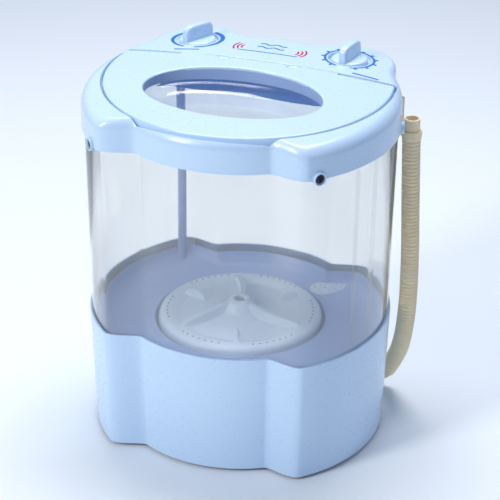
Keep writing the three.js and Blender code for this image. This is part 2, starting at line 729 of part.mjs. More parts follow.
function pulsator() {
  const rim = PULSATOR_RIM_Z;
  const hub = PULSATOR_HUB_Z;
  const wall = 3;
  const low = WELL_Z + 1.6;
  const disc = lathe(
    [
      [6.5, hub - 6],
      [6.5, hub],
      [10, hub],
      [14, hub - 3],
      [20, rim - 1.5],
      [40, rim - 4.5],
      [PULSATOR_R - 16, rim - 3],
      [PULSATOR_R - 8, rim],
      [PULSATOR_R - 2, rim - 2],
      [PULSATOR_R, rim - 6],
      [PULSATOR_R, low],
      [PULSATOR_R - wall, low],
      [PULSATOR_R - wall, rim - 6],
      [PULSATOR_R - 8, rim - wall],
      [PULSATOR_R - 16, rim - 3 - wall],
      [40, rim - 4.5 - wall],
      [13, rim - 4.5 - wall],
      [13, WELL_Z + 7],
      [SHAFT_R + GAP, WELL_Z + 7],
      [SHAFT_R + GAP, hub - 10],
      [2.8, hub - 10],
      [2.8, hub - 6],
    ],
    28,
  );
  const fins = [];
  for (let i = 0; i < 3; i += 1) {
    fins.push(blade(12, PULSATOR_R - 12, rim - 5, hub - 2, rim + 1.5, 9, BLADE_TURN + 120 * i));
    fins.push(blade(52, PULSATOR_R - 18, rim - 6, rim + 7, rim - 1, 5, BLADE_TURN + 60 + 120 * i));
  }
  return join(disc, ...fins);
}

// An upright fin along a radius, tall at its inner end and low at its outer end.
function blade(inner, outer, foot, innerTop, outerTop, thickness, turn) {
  const side = new THREE.Shape();
  side.moveTo(inner, foot);
  side.lineTo(outer, foot);
  side.lineTo(outer, outerTop);
  side.quadraticCurveTo((inner + outer) / 2, (innerTop + outerTop) / 2 + 3, inner, innerTop);
  const options = { depth: thickness, bevelEnabled: false, curveSegments: 6 };
  const fin = new THREE.ExtrudeGeometry(side, options).translate(0, 0, -thickness / 2);
  return solid(fin.rotateX(Math.PI / 2).rotateZ(turn * DEG));
}

function pulsatorScrew() {
  const seat = PULSATOR_HUB_Z - 6 + GAP;
  return lathe([[0, seat - 14], [2, seat - 14], [2, seat], [5, seat], [4.6, seat + 2.4], [0, seat + 3]], 12);
}

const SHAFT_LOW_Z = BELT_Z - 12;

function driveShaft() {
  const top = PULSATOR_HUB_Z - 10 - GAP;
  const shaft = lathe(
    [[0, SHAFT_LOW_Z], [SHAFT_R, SHAFT_LOW_Z], [SHAFT_R, top - 1], [SHAFT_R - 0.6, top], [0, top]],
    16,
  );
  return cut(shaft, cylinder(2 + GAP, top - 12, top + 1, 0, 0, 10));
}

function waterSeal() {
  const low = WELL_Z - BASE_WALL + GAP;
  const high = WELL_Z + 5;
  return lathe([[SHAFT_R + GAP, low], [13 - GAP, low], [13 - GAP, high], [SHAFT_R + GAP, high - 3]], 20);
}

const BEARING_TOP_Z = WELL_Z - BASE_WALL - GAP;
const BUSH_R = 7.2;

function bearingHousing() {
  const top = BEARING_TOP_Z;
  const low = top - BEARING_LENGTH;
  return lathe(
    [
      [BUSH_R + GAP, low],
      [12, low],
      [12, top - 10],
      [16, top - 4],
      [34, top - 4],
      [34, top],
      [BUSH_R + GAP, top],
    ],
    26,
  );
}

function bush(low) {
  return lathe([[SHAFT_R + GAP, low], [BUSH_R, low], [BUSH_R, low + 12], [SHAFT_R + GAP, low + 12]], 16);
}

// A pulley with a groove for the belt, its hub on a shaft.
function pulley(pitch, hubR, hubUp, hubDown, x, segments) {
  const half = BELT_WIDTH / 2 + FIT;
  const floor = pitch - BELT_THICK / 2 - FIT;
  const edge = pitch + BELT_THICK / 2 + 0.8;
  const solidHub = floor - hubR < 8;
  const web = solidHub
    ? [[hubR, BELT_Z + half + 2]]
    : [[hubR, BELT_Z + 2], [floor - 5, BELT_Z + 2], [floor - 5, BELT_Z + half + 2]];
  const webBack = solidHub
    ? [[hubR, BELT_Z - half - 2]]
    : [[floor - 5, BELT_Z - half - 2], [floor - 5, BELT_Z - 2], [hubR, BELT_Z - 2]];
  return lathe(
    [
      [SHAFT_R + GAP, BELT_Z + hubUp],
      [hubR, BELT_Z + hubUp],
      ...web,
      [edge, BELT_Z + half + 2],
      [edge, BELT_Z + half],
      [floor, BELT_Z + half],
      [floor, BELT_Z - half],
      [edge, BELT_Z - half],
      [edge, BELT_Z - half - 2],
      ...webBack,
      [hubR, BELT_Z - hubDown],
      [SHAFT_R + GAP, BELT_Z - hubDown],
    ],
    segments,
    [x, 0, 0],
  );
}

// The loop of a belt round both pulleys, at a distance outside their pitch circles.
function beltLoop(offset) {
  const far = DRIVE_PITCH_R + offset;
  const near = MOTOR_PITCH_R + offset;
  const lean = Math.acos((far - near) / MOTOR_OFFSET);
  const shape = new THREE.Shape();
  shape.absarc(0, 0, far, Math.PI + lean, 3 * Math.PI - lean, false);
  shape.absarc(-MOTOR_OFFSET, 0, near, Math.PI - lean, Math.PI + lean, false);
  shape.closePath();
  return shape;
}

const BELT_SEGMENTS = 24; // enough for the belt to stay clear of round pulleys

function driveBelt() {
  const low = BELT_Z - BELT_WIDTH / 2;
  const high = BELT_Z + BELT_WIDTH / 2;
  const inner = prism(beltLoop(-BELT_THICK / 2), low - 1, high + 1, BELT_SEGMENTS);
  return cut(prism(beltLoop(BELT_THICK / 2), low, high, BELT_SEGMENTS), inner);
}

const MOTOR_TOP_Z = BRACKET_TOP_Z - 3 - GAP;
const MOTOR_LOW_Z = MOTOR_TOP_Z - MOTOR_HEIGHT;
const MOTOR_AT = [-MOTOR_OFFSET, 0, 0];

function motorHousing() {
  const [low, high, r] = [MOTOR_LOW_Z, MOTOR_TOP_Z, MOTOR_R];
  return lathe(
    [
      [SHAFT_R + FIT, low],
      [r - 3, low],
      [r, low + 3],
      [r, high - 3],
      [r - 3, high],
      [SHAFT_R + FIT, high],
      [SHAFT_R + FIT, high - 2.5],
      [r - 4, high - 2.5],
      [r - 2.5, high - 4],
      [r - 2.5, low + 4],
      [r - 4, low + 2.5],
      [SHAFT_R + FIT, low + 2.5],
    ],
    20,
    MOTOR_AT,
  );
}

function motorStator() {
  const [low, high] = [MOTOR_LOW_Z + 10, MOTOR_TOP_Z - 10];
  return lathe([[22, low], [MOTOR_R - 3, low], [MOTOR_R - 3, high], [22, high]], 20, MOTOR_AT);
}

function motorRotor() {
  const [low, high] = [MOTOR_LOW_Z + 12, MOTOR_TOP_Z - 12];
  return lathe(
    [
      [0, SHAFT_LOW_Z],
      [SHAFT_R, SHAFT_LOW_Z],
      [SHAFT_R, low],
      [21, low],
      [21, high],
      [SHAFT_R, high],
      [SHAFT_R, MOTOR_TOP_Z],
      [0, MOTOR_TOP_Z],
    ],
    16,
    MOTOR_AT,
  );
}

function motorBracket() {
  const low = BRACKET_TOP_Z - 3;
  const plate = block([-MOTOR_OFFSET - 42, -52, low], [-MOTOR_OFFSET + 42, 52, BRACKET_TOP_Z]);
  const holes = BOSS_PLACES.map(([x, y]) => cylinder(2.4, low - 5, low + 9, x, y, 10));
  const shaftRoom = cylinder(9, low - 5, low + 9, -MOTOR_OFFSET, 0, 14);
  return cut(plate, ...holes, shaftRoom);
}

function bracketScrew(x, y) {
  const head = BRACKET_TOP_Z - 3 - GAP;
  const points = [[0, head - 2.6], [3.6, head - 2.6], [4.2, head], [1.8, head], [1.8, head + 9], [0, head + 9]];
  return lathe(points, 10, [x, y, 0]);
}

const CAPACITOR_AT = [66, -86, 0];

function runCapacitor() {
  const low = PLATE_Z + 3 + GAP;
  return lathe([[0, low], [16, low], [17, low + 1], [17, low + 56], [14, low + 58], [0, low + 58]], 28, CAPACITOR_AT);
}

function capacitorClamp() {
  const low = PLATE_Z + 3 + GAP;
  const [x, y] = CAPACITOR_AT;
  const ring = lathe([[17 + GAP, low + 20], [19, low + 20], [19, low + 30], [17 + GAP, low + 30]], 28, CAPACITOR_AT);
  const leg = block([x + 17.8, y - 5, low], [x + 20, y + 5, low + 30]);
  const tab = block([x + 17.8, y - 5, low], [x + 30, y + 5, low + 2]);
  return cut(join(ring, leg, tab), cylinder(17 + GAP, low - 1, low + 40, x, y, 28));
}

// ---------------------------------------------------------------- drain

function drainGrille() {
  const plate = prism(drainShape(0), FLOOR_Z - 1.1, FLOOR_Z + 0.9, 8);
  const holes = [];
  for (let i = -1; i <= 2; i += 1) {
    for (let j = -1; j <= 1; j += 1) {
      const along = DRAIN_R + (i - 0.5) * 8.5;
      const side = j * 7.5;
      const x = along * Math.cos(DRAIN_ANGLE) - side * Math.sin(DRAIN_ANGLE);
      const y = along * Math.sin(DRAIN_ANGLE) + side * Math.cos(DRAIN_ANGLE);
      holes.push(cylinder(1.6, FLOOR_Z - 5, FLOOR_Z + 5, x, y, 6));
    }
  }
  return cut(plate, ...holes);
}

const SUMP_DEPTH = 14;
const PIPE_R = 7;

// Cup under the drain grille, with a stub for the pipe in its floor.
function drainSump() {
  const high = FLOOR_Z - BASE_WALL - GAP;
  const low = high - SUMP_DEPTH;
  const cup = prism(drainShape(-1), low, high, 5);
  const room = prism(drainShape(-3.5), low + 2.5, high + 1, 5);
  const stub = cylinder(PIPE_R - 1, low - 6, low + 1, DRAIN_X, DRAIN_Y, 12);
  const bore = cylinder(PIPE_R - 3, low - 8, low + 5, DRAIN_X, DRAIN_Y, 12);
  return cut(join(cup, stub), room, bore);
}

// A round tube along a smooth curve. An inner radius leaves it open from end to end.
function tube(points, outer, inner, steps, sides) {
  const path = new THREE.CatmullRomCurve3(points.map((p) => new THREE.Vector3(...p)));
  const section = (r) => {
    const shape = new THREE.Shape();
    for (let i = 0; i < sides; i += 1) {
      const a = (2 * Math.PI * i) / sides;
      shape[i ? 'lineTo' : 'moveTo'](r * Math.cos(a), r * Math.sin(a));
    }
    shape.closePath();
    return shape;
  };
  const profile = section(outer);
  if (inner) profile.holes.push(section(inner));
  return solid(new THREE.ExtrudeGeometry(profile, { steps, extrudePath: path, bevelEnabled: false }));
}

const SPOUT_IN = radialPoint(142, SPOUT_ANGLE, SPOUT_Z);

function radialPoint(r, angle, z) {
  return [r * Math.sin(angle), -r * Math.cos(angle), z];
}

function drainPipe() {
  const high = FLOOR_Z - BASE_WALL - SUMP_DEPTH - 7;
  const end = radialPoint(139, SPOUT_ANGLE, SPOUT_Z);
  const points = [
    [DRAIN_X, DRAIN_Y, high],
    [DRAIN_X + 2, DRAIN_Y + 1, high - 25],
    [DRAIN_X + 14, DRAIN_Y + 1, SPOUT_Z + 22],
    radialPoint(126, SPOUT_ANGLE, SPOUT_Z + 1),
    radialPoint(132, SPOUT_ANGLE, SPOUT_Z),
    end,
  ];
  return tube(points, PIPE_R, PIPE_R - 2, 10, 8);
}

// Elbow through the base's wall: in along a radius, out towards the hose.
function drainElbow() {
  const [foot, next] = HOSE_ROUTE.map((p) => new THREE.Vector3(...p));
  const up = next.clone().sub(foot).normalize();
  const start = foot.clone().addScaledVector(up, -GAP - 0.1);
  const bend = foot.clone().addScaledVector(up, -10);
  const points = [
    SPOUT_IN,
    radialPoint(SIDE_R - 5, SPOUT_ANGLE, SPOUT_Z),
    radialPoint(COVER_R, SPOUT_ANGLE, SPOUT_Z + 0.5),
    bend.toArray(),
    start.toArray(),
  ];
  return tube(points, PIPE_R + 1, PIPE_R - 1, 8, 8);
}

function drainHose() {
  return tube(HOSE_ROUTE, HOSE_R, 0, 16, 10);
}

function hoseCuff() {
  const low = CUFF_FOOT.z + GAP;
  const high = low + CUFF_LENGTH;
  return lathe(
    [
      [0, low],
      [HOSE_R + 0.3, low],
      [HOSE_R + 0.3, low + 5],
      [CUFF_R, low + 5],
      [CUFF_R, high],
      [6.6, high],
      [6.6, low + 3],
      [0, low + 3],
    ],
    20,
    [CUFF_FOOT.x, CUFF_FOOT.y, 0],
  );
}

// Clip on the cover's side that the cuff hangs in.
function hoseClip() {
  const low = CUFF_FOOT.z + GAP + 5 + GAP;
  const high = low + 5;
  const ring = lathe([[CUFF_R + FIT, low], [CUFF_R + 2.6, low], [CUFF_R + 2.6, high], [CUFF_R + FIT, high]], 24);
  const { x, y } = CUFF_FOOT;
  const angle = Math.atan2(x, -y);
  const wall = COVER_R + GAP + 0.2;
  const strip = new THREE.BoxGeometry(9, 2.2, 45).translate(0, -wall - 1.1, low + 22.5);
  const band = solid(strip.rotateZ(angle));
  const cuffRoom = cylinder(CUFF_R + FIT, low - 5, high + 60, x, y, 24);
  return cut(join(ring.translate([x, y, 0]), band), cuffRoom);
}

// ---------------------------------------------------------------- wiring

function cordGland() {
  const inner = RECESS_R - BASE_DRAFT - BASE_WALL - 4;
  const outer = RECESS_R + 5;
  const flange = RECESS_R - 0.8;
  return radial(
    [[3.4, inner], [6.2, inner], [6.2, flange], [9, flange], [9, flange + 2], [5.5, outer + 3], [3.4, outer + 3]],
    GLAND_ANGLE,
    GLAND_Z,
  );
}

function wireConduit() {
  const low = FLOOR_Z - 6;
  const high = LINER_FLOOR_Z + LINER_WALL + 1.5;
  const points = [[CONDUIT_R - 1.5, low], [CONDUIT_R, low], [CONDUIT_R, high], [CONDUIT_R - 1.5, high]];
  return lathe(points, 16, [CONDUIT_X, CONDUIT_Y, 0]);
}

const HARNESS_STEP = 7.1; // short enough to turn into the conduit without touching it

function wiringHarness() {
  const points = [
    [-KNOB_X, KNOB_Y + 18, LINER_FLOOR_Z + 20],
    [-KNOB_X - 11, KNOB_Y + 19, LINER_FLOOR_Z + 17],
    [CONDUIT_X, CONDUIT_Y + 8, LINER_FLOOR_Z + 11],
    [CONDUIT_X, CONDUIT_Y, LINER_FLOOR_Z + 3],
    [CONDUIT_X, CONDUIT_Y, LINER_FLOOR_Z - 14],
    ...[0.8, 0.6, 0.4, 0.2].map((t) => [CONDUIT_X, CONDUIT_Y, FLOOR_Z + t * (LINER_FLOOR_Z - FLOOR_Z)]),
    [CONDUIT_X, CONDUIT_Y, FLOOR_Z - 12],
    [CONDUIT_X, CONDUIT_Y - 2, FLOOR_Z - 24],
    [CONDUIT_X + 1, CONDUIT_Y - 14, FLOOR_Z - 38],
    [-MOTOR_OFFSET, MOTOR_R + 22, MOTOR_TOP_Z - 24],
    [-MOTOR_OFFSET, MOTOR_R + 3, MOTOR_TOP_Z - 26],
  ];
  const steps = Math.round(TUB_SHOWN / HARNESS_STEP);
  return tube(points, 1.8, 0, steps, 6);
}

// ---------------------------------------------------------------- the machine

piece('base_housing', baseHousing(), LIGHT_BLUE, 0.35);
piece('bottom_plate', bottomPlate(), 0x9aa6b4, 0.6);
for (const [i, [x, y]] of [[-FOOT_X, -FOOT_Y], [FOOT_X, -FOOT_Y], [-FOOT_X, FOOT_Y], [FOOT_X, FOOT_Y]].entries()) {
  piece(`rubber_foot_${i + 1}`, rubberFoot(x, y), 0x2b2d30, 0.9);
}
for (const [i, [x, y]] of POST_PLACES.entries()) {
  piece(`plate_screw_${i + 1}`, plateScrew(x, y), STEEL, 0.35, 1);
}
piece('tub_gasket', tubGasket(), 0xe6e6e2, 0.8);
piece('clear_tub', clearTub(), 0xe9ecec, 0.12);
piece('top_cover', topCover(), LIGHT_BLUE, 0.3);
for (const [i, angle] of SCREW_ANGLES.entries()) {
  piece(`cover_screw_${i + 1}`, coverScrew(angle), 0x2a2c30, 0.3, 1);
}
piece('control_tray', controlTray(), 0x8fb8e6, 0.4);
piece('lid_frame', lidFrame(), LIGHT_BLUE, 0.3);
piece('lid_window', lidWindow(), 0xdfeaf2, 0.08);
piece('hinge_pin_left', hingePin(-KNUCKLE_X), STEEL, 0.3, 1);
piece('hinge_pin_right', hingePin(KNUCKLE_X), STEEL, 0.3, 1);
piece('selector_knob', controlKnob(-KNOB_X, 62), LIGHT_BLUE, 0.3);
piece('selector_shaft', controlShaft(-KNOB_X), 0xf0f0ea, 0.5);
piece('selector_switch', controlBody(-KNOB_X, 14, 14, 18), 0x3a3d42, 0.6);
piece('timer_knob', controlKnob(KNOB_X, 80), LIGHT_BLUE, 0.3);
piece('timer_shaft', controlShaft(KNOB_X), 0xf0f0ea, 0.5);
piece('wash_timer', controlBody(KNOB_X, 22, 22, 22), 0xe8e6dc, 0.6);
piece('pulsator', pulsator(), 0xc3daf3, 0.35);
piece('pulsator_screw', pulsatorScrew(), STEEL, 0.3, 1);
piece('drive_shaft', driveShaft(), STEEL, 0.3, 1);
piece('water_seal', waterSeal(), 0x26282b, 0.85);
piece('bearing_housing', bearingHousing(), 0x9fa3a8, 0.5, 1);
piece('upper_bush', bush(BEARING_TOP_Z - 13), 0xb08d57, 0.4, 1);
piece('lower_bush', bush(BEARING_TOP_Z - BEARING_LENGTH + 1), 0xb08d57, 0.4, 1);
piece('drive_pulley', pulley(DRIVE_PITCH_R, 14, 9, 9, 0, 22), 0xe4e4de, 0.5);
piece('motor_pulley', pulley(MOTOR_PITCH_R, 9, 8, 8, -MOTOR_OFFSET, 14), 0xb9bcc0, 0.4, 1);
piece('drive_belt', driveBelt(), 0x1c1d1f, 0.85);
piece('motor_housing', motorHousing(), 0x6d7278, 0.45, 1);
piece('motor_stator', motorStator(), 0xa9683a, 0.5, 1);
piece('motor_rotor', motorRotor(), STEEL, 0.35, 1);
piece('motor_bracket', motorBracket(), 0xa4a8ad, 0.4, 1);
for (const [i, [x, y]] of BOSS_PLACES.entries()) {
  piece(`bracket_screw_${i + 1}`, bracketScrew(x, y), STEEL, 0.35, 1);
}
piece('run_capacitor', runCapacitor(), 0xdadad4, 0.5);
piece('capacitor_clamp', capacitorClamp(), 0xa4a8ad, 0.4, 1);
piece('drain_grille', drainGrille(), 0xc3daf3, 0.4);
piece('drain_sump', drainSump(), 0xd8dde2, 0.5);
piece('drain_pipe', drainPipe(), 0x55585c, 0.8);
piece('drain_elbow', drainElbow(), CREAM, 0.5);
piece('drain_hose', drainHose(), CREAM, 0.55);
piece('hose_cuff', hoseCuff(), CREAM, 0.45);
piece('hose_clip', hoseClip(), CREAM, 0.5);
piece('cord_gland', cordGland(), 0x3a3d42, 0.7);
piece('wire_conduit', wireConduit(), 0xe9ecec, 0.2);
piece('wiring_harness', wiringHarness(), 0xd6d2c6, 0.6);

group.position.y = AXIS_Y;

export default group;
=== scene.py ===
# %% [markdown]
# # A mini washing machine with a clear tub
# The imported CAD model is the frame: it holds every size, every joint and the hidden machinery. This
# lesson gives the visible pieces their real curves and finishes. The plastic shells are all drawn
# from one outline, so base, tub, cover and lid keep lying on each other.

import json
import math

import bpy
import bmesh
import numpy as np
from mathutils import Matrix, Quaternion, Vector


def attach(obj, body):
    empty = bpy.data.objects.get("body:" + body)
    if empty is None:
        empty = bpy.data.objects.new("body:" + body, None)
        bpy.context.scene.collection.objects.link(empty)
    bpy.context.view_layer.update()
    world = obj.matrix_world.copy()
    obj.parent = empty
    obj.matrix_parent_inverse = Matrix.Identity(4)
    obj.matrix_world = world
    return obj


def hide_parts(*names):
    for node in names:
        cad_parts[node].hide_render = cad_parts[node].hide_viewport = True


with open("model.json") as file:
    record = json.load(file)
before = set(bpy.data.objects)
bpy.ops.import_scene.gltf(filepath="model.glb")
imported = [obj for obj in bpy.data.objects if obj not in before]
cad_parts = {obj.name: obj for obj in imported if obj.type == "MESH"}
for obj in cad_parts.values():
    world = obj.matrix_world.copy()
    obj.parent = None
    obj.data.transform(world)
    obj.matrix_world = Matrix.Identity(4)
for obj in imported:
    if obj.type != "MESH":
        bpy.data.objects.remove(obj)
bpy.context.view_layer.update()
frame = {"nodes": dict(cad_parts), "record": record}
nodes = frame["nodes"]
print("frame nodes:", len(nodes))

# %% [markdown]
# The camera comes first, because it fixes the view that everything is judged in. It stands in front
# and to the right, well above the lid, far away with a long lens. A long lens keeps upright edges
# nearly parallel, as a catalogue picture does.

# %% Camera
look = Vector((-0.2908, 0.8440, -0.4507)).normalized()
camera_data = bpy.data.cameras.new("catalogue_camera")
camera_data.lens = 141.35
camera_data.sensor_width = 36.0
camera_data.clip_end = 20.0
camera = bpy.data.objects.new("catalogue_camera", camera_data)
camera.location = (0.6302, -1.8042, 1.1624)
camera.rotation_mode = "QUATERNION"
tilt = Quaternion(look, math.radians(-0.517))
camera.rotation_quaternion = tilt @ look.to_track_quat("-Z", "Y")
bpy.context.scene.collection.objects.link(camera)
bpy.context.scene.camera = camera

# %% [markdown]
# The drain hose is a fixed length of corrugated tube, so its facts are settled before its shape. It
# leaves an elbow low at the back right, rises along the side and ends in a cuff that hangs in a
# clip on the cover. Points are in millimetres round the pulsator's axis, as everything below is;
# one shift takes them into the frame.

# %% Hose route
MM = 0.001
AXIS_SHIFT = np.array([0.0, -6.0, 0.0])  # the pulsator's axis in the frame, in millimetres
HOSE_POINTS = np.array(
    [
        [144.5, 99, 27],
        [149, 94, 36],
        [156, 86.5, 51],
        [162.5, 79, 68],
        [167.5, 73, 89],
        [170.8, 69, 113],
        [172.5, 67, 138],
        [173, 66, 165],
        [172.6, 66, 195],
        [171.6, 66, 225],
        [170.4, 66, 255],
        [169.4, 66, 285],
        [168.6, 66, 308],
        [168, 66, 330],
    ],
    float,
)
HOSE_R = 10.2


def smooth_route(points, count):
    """A curve through the points, evenly spaced: each stretch is the cubic whose ends have the
    slope of the line between their neighbours, then the whole is sampled by its own length."""
    before = np.vstack([2 * points[0] - points[1], points[:-1]])
    after = np.vstack([points[1:], 2 * points[-1] - points[-2]])
    slope = (after - before) / 2
    t = np.linspace(0, 1, 40, endpoint=False)[:, None, None]
    a, b, da, db = points[:-1], points[1:], slope[:-1], slope[1:]
    cubic = (
        (2 * t**3 - 3 * t**2 + 1) * a
        + (t**3 - 2 * t**2 + t) * da
        + (-2 * t**3 + 3 * t**2) * b
        + (t**3 - t**2) * db
    )
    line = np.vstack([cubic.transpose(1, 0, 2).reshape(-1, 3), points[-1:]])
    run = np.concatenate([[0], np.cumsum(np.linalg.norm(np.diff(line, axis=0), axis=1))])
    even = np.linspace(0, run[-1], count)
    return np.stack([np.interp(even, run, line[:, k]) for k in range(3)], axis=1), run[-1]


hose_line, hose_length = smooth_route(HOSE_POINTS, 521)
print(f"hose {hose_length:.0f} mm long, {2 * HOSE_R:.1f} mm thick")

# %% [markdown]
# Every new piece is one or more grids of points. A grid comes from a formula with two parameters, and
# its neighbours become quads. Grids that close on themselves are wrapped, lines that shrink to a
# point are welded, and edges sharper than an angle are kept crisp while the rest shades smoothly.

# %% Grids into pieces


def quads(rows, columns, wrap_rows, wrap_columns):
    """Corner numbers of the quads between neighbouring points of a grid."""
    r = np.arange(rows if wrap_rows else rows - 1)[:, None]
    c = np.arange(columns if wrap_columns else columns - 1)[None, :]
    r2, c2 = (r + 1) % rows, (c + 1) % columns
    corners = [r * columns + c, r * columns + c2, r2 * columns + c2, r2 * columns + c]
    return np.stack(corners, axis=-1).reshape(-1, 4)


def make_piece(name, grids, material, body, replaces=(), sharp=35):
    """Joins grids, each (points, wrap_rows, wrap_columns), into one welded mesh on a body."""
    found, faces, start = [], [], 0
    for points, wrap_rows, wrap_columns in grids:
        rows, columns = points.shape[:2]
        faces.append(quads(rows, columns, wrap_rows, wrap_columns) + start)
        found.append(points.reshape(-1, 3))
        start += rows * columns
    mesh = bpy.data.meshes.new(name)
    place = (np.concatenate(found) + AXIS_SHIFT) * MM
    mesh.from_pydata(place.tolist(), [], np.concatenate(faces).tolist())
    work = bmesh.new()
    work.from_mesh(mesh)
    bmesh.ops.remove_doubles(work, verts=work.verts, dist=2e-6)
    bmesh.ops.recalc_face_normals(work, faces=work.faces)
    work.to_mesh(mesh)
    work.free()
    mesh.shade_smooth()
    mesh.set_sharp_from_angle(angle=math.radians(sharp))
    piece = bpy.data.objects.new(name, mesh)
    bpy.context.scene.collection.objects.link(piece)
    piece.data.materials.append(material)
    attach(piece, body)
    if replaces:
        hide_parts(*replaces)
    print(f"{name}: {len(mesh.polygons)} faces")
    return piece


def capped(body):
    """Closes a stack of rings: each end gains a ring whose points all lie at that end's middle."""
    ends = body[[0, -1]].mean(axis=1, keepdims=True) + 0 * body[[0, -1]]
    return np.concatenate([ends[:1], body, ends[1:]])


def rounded(points, radius, steps=4):
    """A line of [radius, height] points whose inner corners become short curves: each corner is the
    parabola from one side to the other, at most a radius or half a side away."""
    points = np.asarray(points, float)
    radius = np.broadcast_to(radius, len(points))
    out = [points[:1]]
    t = np.linspace(0, 1, steps + 1)[:, None]
    for i in range(1, len(points) - 1):
        back, on = points[i - 1] - points[i], points[i + 1] - points[i]
        near, far = np.linalg.norm(back), np.linalg.norm(on)
        a = points[i] + back / near * min(radius[i], near * 0.49)
        b = points[i] + on / far * min(radius[i], far * 0.49)
        out.append((1 - t) ** 2 * a + 2 * t * (1 - t) * points[i] + t**2 * b)
    out.append(points[-1:])
    return np.vstack(out)


def turned(profile, count=96, at=(0.0, 0.0)):
    """A [radius, height] line carried round an upright axis."""
    a = np.linspace(0, 2 * math.pi, count, endpoint=False)[None, :]
    r, z = profile[:, :1], profile[:, 1:]
    return np.stack([at[0] + r * np.cos(a), at[1] + r * np.sin(a), z + 0 * a], axis=-1)


# %% [markdown]
# Plastic is never one flat colour. Moulded ABS has a faint orange peel a few millimetres across, and
# its colour drifts slightly over a hand's width. Each material below mixes two close colours with
# slow noise, lets fine noise move the roughness, and bumps the surface by a few hundredths of a
# millimetre. Hex colours are what the eye reads; one function turns them to the linear values that
# a shader wants.

# %% Colours and shader nodes


def linear(hex_colour):
    """The linear value of an sRGB hex colour: power law above a small straight part."""
    s = np.array([int(hex_colour[i : i + 2], 16) for i in (1, 3, 5)]) / 255
    value = np.where(s <= 0.04045, s / 12.92, ((s + 0.055) / 1.055) ** 2.4)
    return (*value.tolist(), 1.0)


def add(tree, kind, values=(), links=(), **settings):
    """Adds a node, sets its attributes and socket values, and links other nodes' outputs in."""
    node = tree.nodes.new(kind)
    for key, value in settings.items():
        setattr(node, key, value)
    for key, value in dict(values).items():
        node.inputs[key].default_value = value
    for key, (source, output) in dict(links).items():
        tree.links.new(source.outputs[output], node.inputs[key])
    return node


def moulded(name, colours, roughness, drift_mm, peel_mm, peel_depth_mm, shader):
    """A moulded or cast surface: two colours, a roughness range and a fine bump on Object
    coordinates. shader holds the constant sockets of the Principled shader."""
    material = bpy.data.materials.new(name)
    material.use_nodes = True
    tree = material.node_tree
    tree.nodes.clear()
    where = add(tree, "ShaderNodeTexCoord")
    place = {"Vector": (where, "Object")}
    drift = add(tree, "ShaderNodeTexNoise", {"Scale": 1000 / drift_mm, "Detail": 2.0}, place)
    peel = add(tree, "ShaderNodeTexNoise", {"Scale": 1000 / peel_mm, "Detail": 3.0}, place)
    colour = add(
        tree,
        "ShaderNodeMix",
        {6: linear(colours[0]), 7: linear(colours[1])},
        {0: (drift, "Fac")},
        data_type="RGBA",
    )
    rough = add(
        tree,
        "ShaderNodeMapRange",
        {"To Min": roughness[0], "To Max": roughness[1]},
        {"Value": (peel, "Fac")},
    )
    bump = add(
        tree,
        "ShaderNodeBump",
        {"Strength": 0.05, "Distance": peel_depth_mm * MM},
        {"Height": (peel, "Fac")},
    )
    links = {"Base Color": (colour, 2), "Roughness": (rough, 0), "Normal": (bump, 0)}
    surface = add(tree, "ShaderNodeBsdfPrincipled", shader, links)
    add(tree, "ShaderNodeOutputMaterial", {}, {"Surface": (surface, 0)})
    return material


# %% [markdown]
# The finishes are named for what they are: ABS for the shells, clear styrene for tub and window,
# polypropylene for the hose, printed ink, rubber, and a few metals for the screws and the drive.
# ABS reflects like any plastic (IOR 1.54) under a satin skin. Moulded styrene is a little milky: most
# light goes straight through, about a twentieth is scattered as white, and a coat gives the surface
# its gloss. Its IOR is set near 1 for the look of a thin even wall; real styrene's is about 1.59.

# %% Finishes
abs_blue = moulded(
    "abs_moulded_pale_blue", ("#C0DBF7", "#C8E0F9"), (0.24, 0.33), 120, 2.4, 0.03,
    {"IOR": 1.54, "Coat Weight": 0.15, "Coat Roughness": 0.12},
)
# One deeper blue serves three places: the base's wash floor and the wire conduit take it as their
# colour, and the inner face of the lid's window collar takes it as painted shade.
deep_blue_and_painted_shade = moulded(
    "abs_moulded_deep_blue_and_painted_shade", ("#96B0E0", "#9EB8E6"), (0.3, 0.4), 90, 2.4, 0.03, {"IOR": 1.54}
)
abs_pulsator = moulded(
    "abs_moulded_pulsator", ("#D9E9FC", "#E1EFFD"), (0.2, 0.28), 60, 2.0, 0.03, {"IOR": 1.54}
)
abs_tray = moulded(
    "abs_moulded_mid_blue", ("#2C74C4", "#357DCB"), (0.28, 0.38), 80, 2.2, 0.03, {"IOR": 1.54}
)
clear_styrene = moulded(
    "styrene_moulded_clear", ("#F6F6F4", "#FFFFFC"), (0.03, 0.07), 150, 6.0, 0.01,
    {"IOR": 1.03, "Transmission Weight": 0.945, "Coat Weight": 1.0, "Coat Roughness": 0.08},
)
window_styrene = moulded(
    "styrene_moulded_window", ("#EAF3FB", "#F4F9FF"), (0.02, 0.04), 80, 6.0, 0.01,
    {"IOR": 1.06, "Transmission Weight": 0.98, "Coat Weight": 1.0, "Coat Roughness": 0.03},
)
hose_plastic = moulded(
    "polypropylene_blown_beige", ("#F3E2BA", "#F8EAC9"), (0.38, 0.5), 60, 1.6, 0.04, {"IOR": 1.49}
)
ink_blue = moulded(
    "ink_screen_printed_blue", ("#1568C4", "#1D76D2"), (0.3, 0.4), 20, 1.0, 0.01, {"IOR": 1.5}
)
ink_red = moulded(
    "ink_screen_printed_red", ("#C2182F", "#CE2238"), (0.3, 0.4), 20, 1.0, 0.01, {"IOR": 1.5}
)
white_plastic = moulded(
    "acetal_moulded_white", ("#E6E6DF", "#EFEFE9"), (0.35, 0.45), 60, 2.0, 0.03, {"IOR": 1.48}
)
grey_plastic = moulded(
    "abs_moulded_grey", ("#7C8894", "#86919D"), (0.4, 0.52), 60, 2.0, 0.03, {"IOR": 1.54}
)
dark_rubber = moulded(
    "rubber_moulded_dark", ("#1D1E20", "#26282B"), (0.6, 0.75), 40, 1.5, 0.06, {"IOR": 1.52}
)
